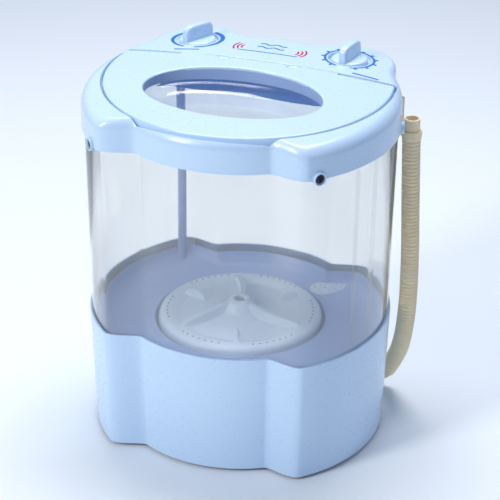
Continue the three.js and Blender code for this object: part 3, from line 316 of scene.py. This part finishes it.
pale_rubber = moulded(
    "silicone_moulded_pale", ("#DAD9D3", "#E3E2DC"), (0.5, 0.6), 40, 1.5, 0.04, {"IOR": 1.43}
)
dark_screw = moulded(
    "steel_screw_black_plated", ("#3A3D43", "#4A4E55"), (0.22, 0.34), 8, 0.8, 0.01, {"Metallic": 1.0}
)
zinc_steel = moulded(
    "steel_pressed_zinc_plated", ("#9EA4AC", "#B4B9BF"), (0.28, 0.42), 12, 0.8, 0.01, {"Metallic": 1.0}
)
ground_steel = moulded(
    "steel_ground_shaft", ("#B2B5BA", "#C2C5C9"), (0.16, 0.26), 20, 0.5, 0.005, {"Metallic": 1.0}
)
cast_aluminium = moulded(
    "aluminium_die_cast", ("#A6A9AD", "#B8BBBF"), (0.4, 0.55), 20, 1.2, 0.05, {"Metallic": 1.0}
)
bronze = moulded(
    "bronze_sintered_bush", ("#9A7440", "#AD8650"), (0.35, 0.5), 10, 0.8, 0.02, {"Metallic": 1.0}
)
lamination_steel = moulded(
    "steel_laminated_varnished", ("#5B3A2A", "#6C4834"), (0.35, 0.5), 12, 0.7, 0.02, {"Metallic": 0.6}
)
hole_shade = moulded(
    "abs_shaded_hole", ("#4E6FA8", "#5878B2"), (0.6, 0.7), 20, 1.0, 0.01, {"IOR": 1.54}
)

SLOT_FINISH = {
    "blue_plastic": abs_blue,
    "tray_plastic": abs_tray,
    "clear_plastic": clear_styrene,
    "hose_plastic": hose_plastic,
    "white_plastic": white_plastic,
    "grey_plastic": grey_plastic,
    "dark_rubber": dark_rubber,
    "pale_rubber": pale_rubber,
    "screw_steel": zinc_steel,
    "shaft_steel": ground_steel,
    "plated_sheet": zinc_steel,
    "laminations": lamination_steel,
    "cast_aluminium": cast_aluminium,
    "bearing_bronze": bronze,
}
for part in frame["record"]["subparts"]:
    kept = nodes[part["node"]]
    kept.data.materials.clear()
    kept.data.materials.append(SLOT_FINISH[part["material_slot"]])
nodes["wire_conduit"].data.materials[0] = deep_blue_and_painted_shade
nodes["drain_grille"].data.materials[0] = abs_pulsator
print("finishes:", len(bpy.data.materials))

# %% [markdown]
# Seen from above, the body is a round drum whose front and back are set in by 29 mm between soft
# steps. One function of the angle holds that outline. Radii under 100 mm stay round, so the well of
# the pulsator is a true circle, and the set-in grows to its full amount at 150 mm.

# %% The outline
AROUND = np.linspace(0, 2 * math.pi, 720, endpoint=False)  # angle from the front, towards +X


def set_in(angle):
    """How far the outline is inside the round sides: a smooth step from all to none between 30.5
    and 43 degrees from the front or the back."""
    face = np.arctan2(np.abs(np.sin(angle)), np.abs(np.cos(angle)))
    t = np.clip((face - math.radians(30.5)) / math.radians(12.5), 0, 1)
    return 29.0 * (1 - t * t * (3 - 2 * t))


def lobed(profile, angle=AROUND):
    """A [radius, height] line carried round the drum and drawn in by the outline."""
    r, z = profile[:, :1], profile[:, 1:]
    reach = r - np.clip((r - 100) / 50, 0, 1) * set_in(angle)[None, :]
    a = angle[None, :]
    return np.stack([reach * np.sin(a), -reach * np.cos(a), z + 0 * a], axis=-1)


def crown(x, y):
    """Height of the bowed top: highest behind the middle, falling with the square of distance."""
    return 400.6 - 3.3e-4 * (x * x + (y - 48.0) ** 2)


# %% [markdown]
# The base is one moulding: a skirt that narrows towards the floor, a rim with a groove for the tub,
# and a wash floor that rises to the wall and dips to the pulsator's well. Its whole section is one
# closed line, rounded at the corners as a mould needs, and the outline carries it round.

# %% Base
base_line = rounded(
    [
        [157.2, 3.2], [158.4, 3], [160.2, 3], [165, 140], [162.3, 140], [162.3, 126.5],
        [157.2, 126.5], [156.2, 134.2], [150.5, 125], [140, 121], [94, 121], [92.5, 112],
        [13, 112], [13, 109], [94.5, 109], [96.5, 118], [142.5, 118], [154.5, 123.5],
        [161.2, 123.5], [157.2, 3.2],
    ],
    [0, 0.6, 1.2, 1.4, 0.8, 0.8, 0.8, 1.5, 9, 9, 1.2, 2, 1, 1, 2, 2, 4, 3, 1, 0],
)
base = make_piece(
    "base_shell", [(lobed(base_line), False, True)], abs_blue, "housing", ["base_housing"]
)
floor_faces = np.array([p.center for p in base.data.polygons])
radius = np.hypot(floor_faces[:, 0], floor_faces[:, 1] - AXIS_SHIFT[1] * MM)
inside = (radius < 0.1562) & (floor_faces[:, 2] > 0.1085) & (floor_faces[:, 2] < 0.1345)
base.data.materials.append(deep_blue_and_painted_shade)
base.data.polygons.foreach_set("material_index", inside.astype(np.int32))

# %% [markdown]
# The tub is a clear wall 2.5 mm thick that flares slightly towards the cover, with two upright ribs
# inside its right wall. It is a closed shell, because light has to enter and leave the plastic. The
# ribs stand a hair off the wall: clear shapes that share space would bend light wrongly.

# %% Tub
tub_line = rounded(
    [[162, 129.6], [165.1, 361.5], [162.6, 361.5], [159.5, 129.6], [162, 129.6]], 0.6, 2
)
steps = np.linspace(0, 2 * math.pi, 16, endpoint=False)


def rib(angle):
    """An upright rounded bar: an oval section swept from the rim to under the cover."""
    z = np.linspace(143, 345, 12)
    wall = 159.3 + (z - 129.6) * 3.1 / 232 - 2.6
    across = 1.1 * np.sign(np.cos(steps)) * np.abs(np.cos(steps)) ** 0.6
    depth = 2.2 * np.sign(np.sin(steps)) * np.abs(np.sin(steps)) ** 0.6
    reach = wall[:, None] + depth[None, :]
    out = np.array([math.sin(angle), -math.cos(angle)])
    side = np.array([math.cos(angle), math.sin(angle)])
    bar = reach[..., None] * out + across[None, :, None] * side
    return capped(np.concatenate([bar, np.broadcast_to(z[:, None, None], (12, 16, 1))], axis=-1))


tub_grids = [(lobed(tub_line), False, True)]
tub_grids += [(rib(math.radians(a)), False, True) for a in (67.0, 78.8)]
make_piece("tub_wall", tub_grids, clear_styrene, "housing", ["clear_tub"])

# %% [markdown]
# The cover's edge is the drum's outline joined to two round pods behind, with soft inner corners. A
# smooth minimum of two distances gives such a joined outline. Rays leave the middle of the lid's
# arc, and on each ray the place at a wanted distance inside the edge is found by halving.

# %% Cover outline
FAN = np.linspace(0, 2 * math.pi, 900, endpoint=False)
FAN_X, FAN_Y = np.cos(FAN), np.sin(FAN)
FAN_MIDDLE = 22.0
DRUM_R = 168.0  # the cover's round sides
POD_X, POD_Y, POD_R = 87.0, 101.0, 50.0


def edge_distance(x, y):
    """Distance outside the cover's edge: the smooth minimum of drum and pods, 3 mm soft."""
    drum = np.hypot(x, y) - (DRUM_R - set_in(np.arctan2(x, -y)))
    pods = np.hypot(np.abs(x) - POD_X, y - POD_Y) - POD_R
    low = np.minimum(drum, pods)
    joined = low - 3.0 * np.log(np.exp((low - drum) / 3.0) + np.exp((low - pods) / 3.0))
    return joined, drum - pods


def reach_at(inset):
    """Along each ray, how far it is to the place an inset inside the cover's edge."""
    near, far = np.full(FAN.size, 60.0), np.full(FAN.size, 190.0)
    for _ in range(30):
        middle = (near + far) / 2
        outside = edge_distance(FAN_X * middle, FAN_MIDDLE + FAN_Y * middle)[0] > -inset
        near, far = np.where(outside, near, middle), np.where(outside, middle, far)
    return (near + far) / 2


def lid_reach(radius, rear):
    """Along each ray, the lid's outline: an arc about the fan's middle, cut straight behind."""
    straight = (rear - FAN_MIDDLE) / np.maximum(FAN_Y, 1e-6)
    return np.minimum(radius, np.where(FAN_Y > 0, straight, 1e9))


edge = reach_at(0.0)
pod_share = 1 / (1 + np.exp(-edge_distance(FAN_X * edge, FAN_MIDDLE + FAN_Y * edge)[1] / 5))
shoulder = 12.0 - 7.0 * pod_share
print(f"cover edge {edge.min():.0f} to {edge.max():.0f} mm from the fan's middle")

# %% [markdown]
# From outside to inside, the cover's section runs up the band, over the shoulder, across the deck,
# down the lid's groove, along the ledge the lid lies on, and back underneath. Where the deck is
# narrower than the shoulder, the rings are stopped at the groove, so nothing folds over.

# %% Cover
groove = lid_reach(156.1, 55.8)
mouth = lid_reach(146.5, 45.0)


def ring(reach, height):
    """One ring of the fan at a reach along its rays and a height."""
    x, y = FAN_X * reach, FAN_MIDDLE + FAN_Y * reach
    return np.stack([x, y, height + 0 * x], axis=-1)


def top_height(reach):
    """Height of the cover's top: the crown, less a quarter circle near the edge."""
    x, y = FAN_X * reach, FAN_MIDDLE + FAN_Y * reach
    inset = np.clip(-edge_distance(x, y)[0], 0, shoulder)
    drop = shoulder - np.sqrt(shoulder**2 - (shoulder - inset) ** 2)
    well = np.hypot(np.abs(x) - POD_X, y - POD_Y)
    return crown(x, y) - drop - 7.0 * np.clip((24.2 - well) / 1.2, 0, 1)


low_edge = 353.0
hem = ((2.5, 360.0), (2.5, 353.5), (2.0, low_edge), (0.5, low_edge))
rings = [ring(reach_at(inset), height) for inset, height in hem]
band_top = top_height(edge)
for share in np.linspace(0.012, 1, 8):
    rings.append(ring(edge, low_edge + share * (band_top - low_edge)))
for turn in np.radians(np.linspace(6, 90, 14)):
    reach = np.maximum(reach_at(shoulder * (1 - math.cos(turn))), groove + 0.8)
    rings.append(ring(reach, top_height(reach)))
deck_from = np.maximum(reach_at(shoulder), groove + 0.8)
for share in np.linspace(0, 1, 60)[1:]:
    reach = deck_from + share * (groove + 0.8 - deck_from)
    rings.append(ring(reach, top_height(reach)))
lip = top_height(groove + 0.8)
ledge = crown(FAN_X * groove, FAN_MIDDLE + FAN_Y * groove) - 8.8
rings += [ring(groove + 0.25, lip - 0.25), ring(groove, lip - 0.8), ring(groove, ledge + 0.5)]
rings += [ring(groove - 0.4, ledge), ring(mouth + 0.6, ledge), ring(mouth, ledge - 0.6)]
under = np.minimum(groove + 2.5, reach_at(2.6))
rings += [ring(mouth, ledge - 2.5), ring(under, ledge - 2.5)]
rings.append(ring(under, np.maximum(lip - 4, ledge - 2.4)))
inner_edge = reach_at(3.0)
rings += [ring(np.maximum(inner_edge - 8, under), band_top - 1), ring(inner_edge, band_top - 8)]
rings.append(rings[0])
cover_grids = [(np.stack(rings), False, True)]


def knob_well(x):
    """A shallow well for a knob: a thin rounded lip that follows the crown, a wall and a floor."""
    line = np.array(
        [
            [25.2, -0.4], [24.9, 0.05], [24.3, 0.3], [23.7, 0.25], [23.2, -0.3], [23, -1.2],
            [22.8, -3.2], [22.2, -3.6], [4, -3.6], [4, -5.6], [25, -5.6], [25.2, -0.4],
        ]
    )
    points = turned(line, 96, (x, POD_Y))
    level = 397.2
    follow = np.clip((line[:, 1] + 3.2) / 3.0, 0, 1)[:, None]
    bowed = crown(points[..., 0], points[..., 1])
    points[..., 2] += level + follow * (bowed - level)
    return points


cover_grids += [(knob_well(x), False, True) for x in (-POD_X, POD_X)]

# %% [markdown]
# Six screws hold cover and tub together. Each goes through a small round boss that straddles the
# cover's lower edge, with a shallow cup for the screw's head. The boss is turned about a radius of
# the drum, and two knuckles for the lid's pins stand at the back of the opening.

# %% Bosses and knuckles
SCREW_ANGLES = np.radians([-166, -102.5, -46.5, 46.5, 102.5, 166])
SCREW_Z = 355.0
KNUCKLE_X, HINGE_Y, HINGE_Z = 40.0, 52.0, 397.8


def pointed_out(profile, angle, height, count=48):
    """A [radius, distance from the drum's axis] line turned about a level radius."""
    a = np.linspace(0, 2 * math.pi, count, endpoint=False)[None, :]
    r, out = profile[:, :1], profile[:, 1:]
    across, up = r * np.cos(a), r * np.sin(a)
    x = (out + 0 * a) * math.sin(angle) + across * math.cos(angle)
    y = -(out + 0 * a) * math.cos(angle) + across * math.sin(angle)
    return np.stack([x, y, height + up], axis=-1)


def screw_reach(angle):
    """Distance of the cover's face from the axis at a screw."""
    return float(DRUM_R - set_in(np.array(angle)))


boss_line = rounded(
    [[2.4, -3], [7, -3], [7, 3.4], [5.6, 3.4], [5.3, 1.0], [2.4, 1.0], [2.4, -3]],
    [0, 0, 1.6, 0.8, 0.4, 0, 0],
)
for angle in SCREW_ANGLES:
    boss = pointed_out(boss_line + [0, screw_reach(angle)], angle, SCREW_Z)
    cover_grids.append((boss, False, True))
knuckle_line = rounded([[1.4, -6], [2.4, -6], [2.4, 6], [1.4, 6], [1.4, -6]], 0.3, 2)
for x in (-KNUCKLE_X, KNUCKLE_X):
    bar = turned(knuckle_line, 32)
    bar = np.stack([x + bar[..., 2], HINGE_Y + bar[..., 0], HINGE_Z + bar[..., 1]], axis=-1)
    cover_grids.append((bar, False, True))
    corners = np.array([[52, 395.6], [57, 395.6], [57, 398.4], [53.4, 398.4]], float)
    web = np.stack([np.column_stack([np.full(4, x + s), corners]) for s in (-6, 6)])
    cover_grids.append((capped(web), False, True))
make_piece("cover_shell", cover_grids, abs_blue, "housing", ["top_cover"])

# %% [markdown]
# A pan head is a low dome with a cross pressed into it. The dome is a turned grid, and the cross is
# where the point is close to either of two lines through the middle: there the surface sinks.

# %% Cover screws


def screw_head(angle):
    """A pan head of radius 4.75 with a cross slot 1.3 mm deep, its shank running inwards."""
    r = np.concatenate([np.linspace(0.0, 3.9, 22), [4.2, 4.5, 4.68, 4.75, 4.75, 1.9, 1.9, 0.0]])
    out = 2.55 - 1.3 * (r / 4.75) ** 3
    out[-4:] = [1.25, 1.25, -9.0, -9.0]
    out[-5] = 1.4
    a = np.linspace(0, 2 * math.pi, 64, endpoint=False)[None, :]
    across, up = r[:, None] * np.cos(a), r[:, None] * np.sin(a)
    near_line = np.minimum(np.abs(across), np.abs(up))
    slot = np.clip((0.75 - near_line) / 0.3, 0, 1) * np.clip((2.9 - r[:, None]) / 0.4, 0, 1)
    slot[-6:] = 0
    reach = screw_reach(angle) + out[:, None] - 1.3 * slot
    x = reach * math.sin(angle) + across * math.cos(angle)
    y = -reach * math.cos(angle) + across * math.sin(angle)
    return np.stack([x, y, SCREW_Z + up], axis=-1)


for number, angle in enumerate(SCREW_ANGLES, 1):
    make_piece(
        f"cover_screw_head_{number}", [(screw_head(angle), False, True)], dark_screw,
        "housing", [f"cover_screw_{number}"],
    )

# %% [markdown]
# The lid is a bowed plate with an oval window. Its section starts at the foot of the window's
# collar, rolls over the rim, crosses the plate, rolls down at the outer edge and returns below. The
# rays now leave the window's middle, and behind they stop at the straight hinge edge, stepping in
# where the cover's knuckles stand. The collar's inner face is painted a deeper blue as painted
# shade, for the shade inside the window's opening.

# %% Lid
RAYS = np.linspace(0, 2 * math.pi, 1080, endpoint=False)
RAY_X, RAY_Y = np.cos(RAYS), np.sin(RAYS)
WINDOW_Y = -30.0
WINDOW_A, WINDOW_B = 96.0, 57.5  # half the window's width and depth
COLLAR_FOOT = 385.6
LID_R = 153.5
LID_REAR = 82.0  # from the window's middle to the hinge edge
oval_reach = 1 / np.sqrt((RAY_X / WINDOW_A) ** 2 + (RAY_Y / WINDOW_B) ** 2)


def lid_edge(margin):
    """Along each ray from the window's middle, the lid's outline grown by a margin."""
    offset = FAN_MIDDLE - WINDOW_Y
    run = offset * RAY_Y
    arc = run + np.sqrt(run**2 - offset**2 + (LID_R + margin) ** 2)
    up = np.maximum(RAY_Y, 1e-6)
    x = np.abs(LID_REAR * RAY_X / up)
    rear = np.where(np.abs(x - KNUCKLE_X) < 6.4, 78.7, LID_REAR) + margin
    return np.minimum(arc, np.where(RAY_Y > 0, rear / up, 1e9))


def lid_ring(reach, drop=None, height=None):
    """A ring of the lid's rays, a drop under the crown or at a level height."""
    x, y = RAY_X * reach, WINDOW_Y + RAY_Y * reach
    z = crown(x, y) - drop if height is None else height + 0 * x
    return np.stack([x, y, z], axis=-1)


outer = lid_edge(0.0)
lid_rings = [lid_ring(oval_reach, height=COLLAR_FOOT), lid_ring(oval_reach + 0.3, drop=3.0)]
for turn in np.radians(np.linspace(10, 90, 6)):
    rim = oval_reach + 0.3 + 2 * (1 - math.cos(turn))
    lid_rings.append(lid_ring(rim, drop=2 - 2 * math.sin(turn)))
for share in np.linspace(0, 1, 30)[1:-1]:
    reach = oval_reach + 2.3 + share * (outer - 1.6 - oval_reach - 2.3)
    lid_rings.append(lid_ring(reach, drop=0.0))
for turn in np.radians(np.linspace(0, 80, 6)):
    lid_rings.append(lid_ring(outer - 1.6 + 1.6 * math.sin(turn), drop=1.6 - 1.6 * math.cos(turn)))
lid_rings += [lid_ring(outer, drop=2.0), lid_ring(outer, drop=7.6), lid_ring(outer - 0.4, drop=8.0)]
lid_rings += [lid_ring(outer - 2.6, drop=8.0), lid_ring(outer - 2.6, drop=2.8)]
collar_out = np.minimum(oval_reach + 2.4, outer - 3)
lid_rings += [lid_ring(collar_out, drop=2.8), lid_ring(collar_out, height=COLLAR_FOOT)]
lid_rings.append(lid_rings[0])
lid_grids = [(np.stack(lid_rings), False, True)]


def barrel(low, high):
    """A hinge barrel along X, flattened where it would stand over the crown."""
    x = np.linspace(low, high, 24)[:, None]
    a = np.linspace(0, 2 * math.pi, 32, endpoint=False)[None, :]
    radius = np.full((24, 1), 2.75)
    y = HINGE_Y + radius * np.cos(a)
    z = np.minimum(HINGE_Z + radius * np.sin(a), crown(x, HINGE_Y) - 0.02)
    return capped(np.stack([x + 0 * a, y + 0 * x, z], axis=-1))


lid_grids += [(barrel(a, b), False, True) for a, b in ((-88, -46.5), (-33.5, 33.5), (46.5, 88))]
lid = make_piece("lid_plate", lid_grids, abs_blue, "lid", ["lid_frame"])
middle = np.array([p.center for p in lid.data.polygons]) / MM - AXIS_SHIFT
beyond = np.hypot(middle[:, 0] / WINDOW_A, (middle[:, 1] - WINDOW_Y) / WINDOW_B)
# The collar's inner faces get the deeper blue: painted shade for the shade inside the window's
# opening.
lid.data.materials.append(deep_blue_and_painted_shade)
lid.data.polygons.foreach_set("material_index", (beyond < 1.004).astype(np.int32))

# %% [markdown]
# The window is a shallow clear dish under the collar: a flat brim, a sloping side and a flat
# bottom. An oval stretch keeps its wall even: every point moves outwards along X by the same amount
# once it is away from the middle.

# %% Window
window_line = rounded(
    [
        [0.0, 374.4], [43, 374.4], [54.5, 383.4], [62.9, 383.4], [62.9, 385.2],
        [53.5, 385.2], [42.5, 376.4], [0.0, 376.4],
    ],
    [0, 4, 3, 0.6, 0.6, 3, 4, 0], 5,
)
dish = turned(window_line, 240)
away = np.hypot(dish[..., 0], dish[..., 1])
dish[..., 0] += 38.5 * dish[..., 0] / np.maximum(away, 30)
dish[..., 1] += WINDOW_Y
make_piece("window_dish", [(dish, False, True)], window_styrene, "lid", ["lid_window"])

# %% [markdown]
# A control knob is a low disc with a bar across it for finger and thumb. The bar is a rounded box
# from one formula, a superellipsoid: sines and cosines raised to a small power give flat faces with
# round edges. It stands turned, as a knob left mid-setting does.

# %% Knobs


def power(value, exponent):
    """A signed power: keeps the sign and bends the size."""
    return np.sign(value) * np.abs(value) ** exponent


def knob(name, x, turn, body, node):
    """Disc of radius 20 and a grip 40 by 11 by 22 mm, turned by an angle about Z."""
    floor = 394.0
    line = rounded([[0.0, 0], [19.6, 0], [20, 3.6], [18, 5], [0.0, 5.2]], [0, 0.6, 1.6, 1.2, 0])
    disc = turned(line + [0, floor], 96, (x, POD_Y))
    u = np.linspace(-math.pi / 2, math.pi / 2, 33)[:, None]
    v = np.linspace(0, 2 * math.pi, 72, endpoint=False)[None, :]
    flat = power(np.cos(u), 0.35)
    along = 19.6 * flat * power(np.cos(v), 0.35)
    across = 5.4 * flat * power(np.sin(v), 0.45) * (1 - 0.10 * (power(np.sin(u), 0.6) + 1) / 2)
    up = floor + 10.5 + 10.9 * power(np.sin(u), 0.45) + 0 * v
    arch = 2.2 * (along / 19.6) ** 4 * (up > floor + 12)
    c, s = math.cos(turn), math.sin(turn)
    bar_x, bar_y = x + along * c - across * s, POD_Y + along * s + across * c
    bar = np.stack([bar_x, bar_y, up - arch], axis=-1)
    return make_piece(name, [(disc, False, True), (bar, False, True)], abs_blue, body, [node])


knob("selector_grip", -POD_X, math.radians(62), "selector", "selector_knob")
knob("timer_grip", POD_X, math.radians(80), "timer", "timer_knob")

# %% [markdown]
# The printing round the knobs is ink, a few hundredths of a millimetre thick. Here it is drawn as
# thin closed strips that follow the crown a tenth above it, thick enough not to flicker. The words
# of a real panel are left out; a small wave mark stands in their place.

# %% Printed marks


def strip(x, y, half_width, lift=0.12, thick=0.12):
    """A closed strip along a line on the crown, with a half width at each point."""
    dx, dy = np.gradient(x), np.gradient(y)
    size = np.hypot(dx, dy)
    nx, ny = -dy / size, dx / size
    half = half_width * np.ones_like(x)
    left = np.stack([x + nx * half, y + ny * half], axis=-1)
    right = np.stack([x - nx * half, y - ny * half], axis=-1)
    sides = [left, right, right, left]
    lifts = [lift, lift, lift - thick, lift - thick]
    lines = [
        np.concatenate([p, (crown(p[:, 0], p[:, 1]) + h)[:, None]], axis=1)
        for p, h in zip(sides, lifts)
    ]
    return capped(np.stack(lines, axis=1))


def arc(x, y, radius, start, stop, half_width):
    """A strip along an arc; the half width may taper from one end to the other."""
    a = np.radians(np.linspace(start, stop, 40))
    width = np.linspace(*half_width, 40) if isinstance(half_width, tuple) else half_width
    return strip(x + radius * np.cos(a), y + radius * np.sin(a), width)


marks = [
    arc(-POD_X, POD_Y, 27.6, 112, 258, (3.0, 1.3)),
    arc(-POD_X, POD_Y, 27.6, -78, 68, (1.3, 3.0)),
    arc(POD_X, POD_Y, 26.6, -74, 254, 1.3),
]
for number in range(12):
    a = math.radians(-62 + 304 * number / 11)
    reach = np.linspace(26.8, 31.0, 3)
    marks.append(strip(POD_X + reach * math.cos(a), POD_Y + reach * math.sin(a), 1.7))
for start, stop in (((-100, 63), (-73, 68)), ((101, 63), (131, 59))):
    line = np.linspace(start, stop, 12)
    marks.append(strip(line[:, 0], line[:, 1], 1.3))
wave = np.linspace(-15, 15, 60)
marks += [strip(wave, y + 1.8 * np.sin(wave * 0.42), 1.1) for y in (95.0, 105.0)]
marks.append(strip(np.linspace(-34, 34, 20), np.full(20, 80.0), 0.9))
ink = [(m, False, True) for m in marks]
make_piece("printed_marks_blue", ink, ink_blue, "housing")
ripples = [
    arc(side * 24, 91, 8 + 4.4 * n, 90 - side * 90 - 38, 90 - side * 90 + 38, 1.0)
    for side in (-1, 1)
    for n in range(3)
]
make_piece("printed_marks_red", [(m, False, True) for m in ripples], ink_red, "housing")

# %% [markdown]
# The pulsator is a dished disc with a thick rolled rim. Three long blades sweep from the hub to the
# rim and three short fins stand between them, and each is a smooth ridge added to the height. One
# polar grid holds them all, so they flow out of the disc as a moulding's do.

# %% Pulsator
rho = np.concatenate([[5.6, 6.2, 6.5, 6.8], np.linspace(7.4, 89.0, 118), [89.6, 90.0, 90.0]])
turn = np.linspace(0, 2 * math.pi, 480, endpoint=False)[None, :]
body_line = np.interp(
    rho,
    [6.8, 10, 14, 20, 30, 45, 66, 74, 79, 83, 87, 89.3, 90],
    [141.6, 142, 139.5, 130, 126.4, 124.6, 125.0, 127.4, 128, 128, 127.0, 124.6, 122],
)
body_line[:4] = [134.0, 134.0, 140.9, 141.4]
body_line[-1] = 114.2
THIRD = 2 * math.pi / 3  # the blades stand a third of a turn apart
kernel = np.array([1, 4, 6, 4, 1]) / 16
body_line[5:-4] = np.convolve(body_line, kernel, mode="same")[5:-4]


def ridge(phase, inner, outer, top_in, top_out, half, bend):
    """Height of three ridges a third of a turn apart: a sloping crest with rounded sides that
    curves round the hub by an angle as it goes out."""
    r = rho[:, None]
    line = phase + bend * (r - inner) / (outer - inner)
    off = (turn - line + THIRD / 2) % THIRD - THIRD / 2
    side = np.abs(off) * r
    crest = top_in + (top_out - top_in) * np.clip((r - inner) / (outer - inner), 0, 1) ** 0.8
    wide = np.clip((half - side) / (0.55 * half), 0, 1)
    along = np.clip((r - inner) / 4, 0, 1) * np.clip((outer - r) / 9, 0, 1)
    soft = wide * wide * (3 - 2 * wide) * along * along * (3 - 2 * along)
    return soft * np.maximum(crest - body_line[:, None], 0)


long_blades = ridge(math.radians(-20), 11, 80, 140.5, 129.5, 5.4, math.radians(12))


def fins(phase, middle, half, rise, thick):
    """Three upright half discs a third of a turn apart: height over the disc is the root of
    1 - u * u, with u the distance from the fin's middle, and the sides fall off steeply."""
    r = rho[:, None]
    off = (turn - phase + THIRD / 2) % THIRD - THIRD / 2
    u = np.clip((r - middle) / half, -1, 1)
    wide = np.clip((thick - np.abs(off) * r) / 1.6, 0, 1)
    return wide * np.sqrt(1 - u * u) * rise


short_fins = fins(math.radians(-74), 60, 13, 9.5, 2.6)
surface = body_line[:, None] + np.maximum(long_blades, short_fins)
top = np.stack([rho[:, None] * np.cos(turn), rho[:, None] * np.sin(turn), surface], axis=-1)
under_line = [
    [90, 114.2], [87, 114.2], [86.6, 121], [40, 120.4], [14, 120.4], [5.6, 120.4], [5.6, 134],
]
below = turned(np.array(under_line), 480)
make_piece(
    "pulsator_disc", [(np.concatenate([top, below]), False, True)], abs_pulsator, "agitator",
    ["pulsator"], sharp=50,
)

# %% [markdown]
# Small drain holes dot the disc near its rim in groups between the blades. They are hundreds of
# times smaller than the disc, so each is a low disc of a few faces in the colour of shade, sunk so
# that only its face shows. The drain's grille is the frame's own, with its holes cut through.

# %% Small holes


def dot(x, y, z, radius, thick=0.5):
    """A low closed disc of 12 sides."""
    line = np.array([[0.001, 0], [radius, 0], [radius, -thick], [0.001, -thick]])
    return turned(line + [0, z], 12, (x, y))


HOLE_R = 80.5
holes = []
for spoke in range(6):
    for step in range(-3, 4):
        a = math.radians(-44 + 60 * spoke + step * 5.6)
        height = float(np.interp(HOLE_R, rho, body_line)) + 0.2
        holes.append((dot(HOLE_R * math.cos(a), HOLE_R * math.sin(a), height, 1.1), False, True))
make_piece("pulsator_holes", holes, hole_shade, "agitator")

# %% [markdown]
# The hose is blown from polypropylene with a rib every 4.2 mm, so that it bends without closing. Its
# radius follows a rounded wave along the route. Two directions square to the line carry the
# section; they are the same everywhere, because the route hardly leaves one upright plane.

# %% Drain hose


def swept(line, radius, count=32):
    """A round section carried along a line, its radius given at each point, its ends closed."""
    ahead = np.gradient(line, axis=0)
    ahead /= np.linalg.norm(ahead, axis=1, keepdims=True)
    side = np.cross(ahead, [0.0, 1.0, 0.0])
    side /= np.linalg.norm(side, axis=1, keepdims=True)
    over = np.cross(ahead, side)
    a = np.linspace(0, 2 * math.pi, count, endpoint=False)[None, :, None]
    section = np.cos(a) * side[:, None] + np.sin(a) * over[:, None]
    return capped(line[:, None] + radius[:, None, None] * section)


run = np.linspace(0, hose_length, len(hose_line))
wave = 0.5 + 0.5 * np.cos(2 * math.pi * run / 4.2)
hose_radius = HOSE_R - 1.9 + 1.9 * wave**0.8
hose = make_piece(
    "corrugated_hose", [(swept(hose_line, hose_radius), False, True)], hose_plastic,
    "housing", ["drain_hose"], sharp=70,
)
cuff_line = rounded(
    [
        [0.0, 330.3], [10.4, 330.3], [10.4, 335.2], [8.6, 335.6], [8.5, 353.2], [8.9, 354.3],
        [6.6, 354.3], [6.6, 333.4], [0.0, 333.4],
    ],
    [0, 0.8, 1.2, 1, 0.5, 0.5, 0.4, 0.5, 0],
)
cuff = make_piece(
    "hose_end_cuff", [(turned(cuff_line, 64, (168.0, 66.0)), False, True)], hose_plastic,
    "housing", ["hose_cuff"],
)

# %% [markdown]
# The stage is a pale floor that fills the view. Three large soft lamps do what studio boxes do: the
# key from the upper left draws the long highlights on the shoulders, a fill from the right opens
# the shaded side, and one overhead lights the lid and falls through the window.

# %% Floor and light
floor_mesh = bpy.data.meshes.new("studio_floor")
floor_mesh.from_pydata([(-5, -5, 0), (5, -5, 0), (5, 5, 0), (-5, 5, 0)], [], [(0, 1, 2, 3)])
floor = bpy.data.objects.new("studio_floor", floor_mesh)
floor.location.z = -0.0005
bpy.context.scene.collection.objects.link(floor)
floor_mesh.materials.append(
    moulded("paper_backdrop_pale", ("#EAF2F9", "#F2F7FC"), (0.75, 0.85), 900, 3.0, 0.02, {"IOR": 1.4})
)


def soft_lamp(name, place, aim, size, watts, tint):
    """A rectangular area lamp at a place, facing a point."""
    data = bpy.data.lights.new(name, "AREA")
    data.shape, data.size, data.size_y = "RECTANGLE", size[0], size[1]
    data.energy, data.color = watts, linear(tint)[:3]
    lamp = bpy.data.objects.new(name, data)
    lamp.location = place
    direction = Vector(aim) - Vector(place)
    lamp.rotation_mode = "QUATERNION"
    lamp.rotation_quaternion = direction.to_track_quat("-Z", "Y")
    bpy.context.scene.collection.objects.link(lamp)


soft_lamp("key_lamp", (-1.3, -1.9, 1.5), (0, 0, 0.25), (0.5, 1.1), 33, "#FFFDF8")
soft_lamp("fill_lamp", (1.9, -0.6, 1.3), (0, 0, 0.3), (0.35, 1.0), 2.0, "#E6F0FF")
soft_lamp("top_lamp", (-0.1, 0.5, 2.1), (0, 0, 0.3), (1.2, 0.8), 32, "#FFFFFF")
world = bpy.data.worlds.new("studio_air")
world.use_nodes = True
air = world.node_tree.nodes["Background"]
air.inputs["Color"].default_value = linear("#D4E2FF")
air.inputs["Strength"].default_value = 0.38
bpy.context.scene.world = world
bpy.context.scene.view_settings.view_transform = "Standard"
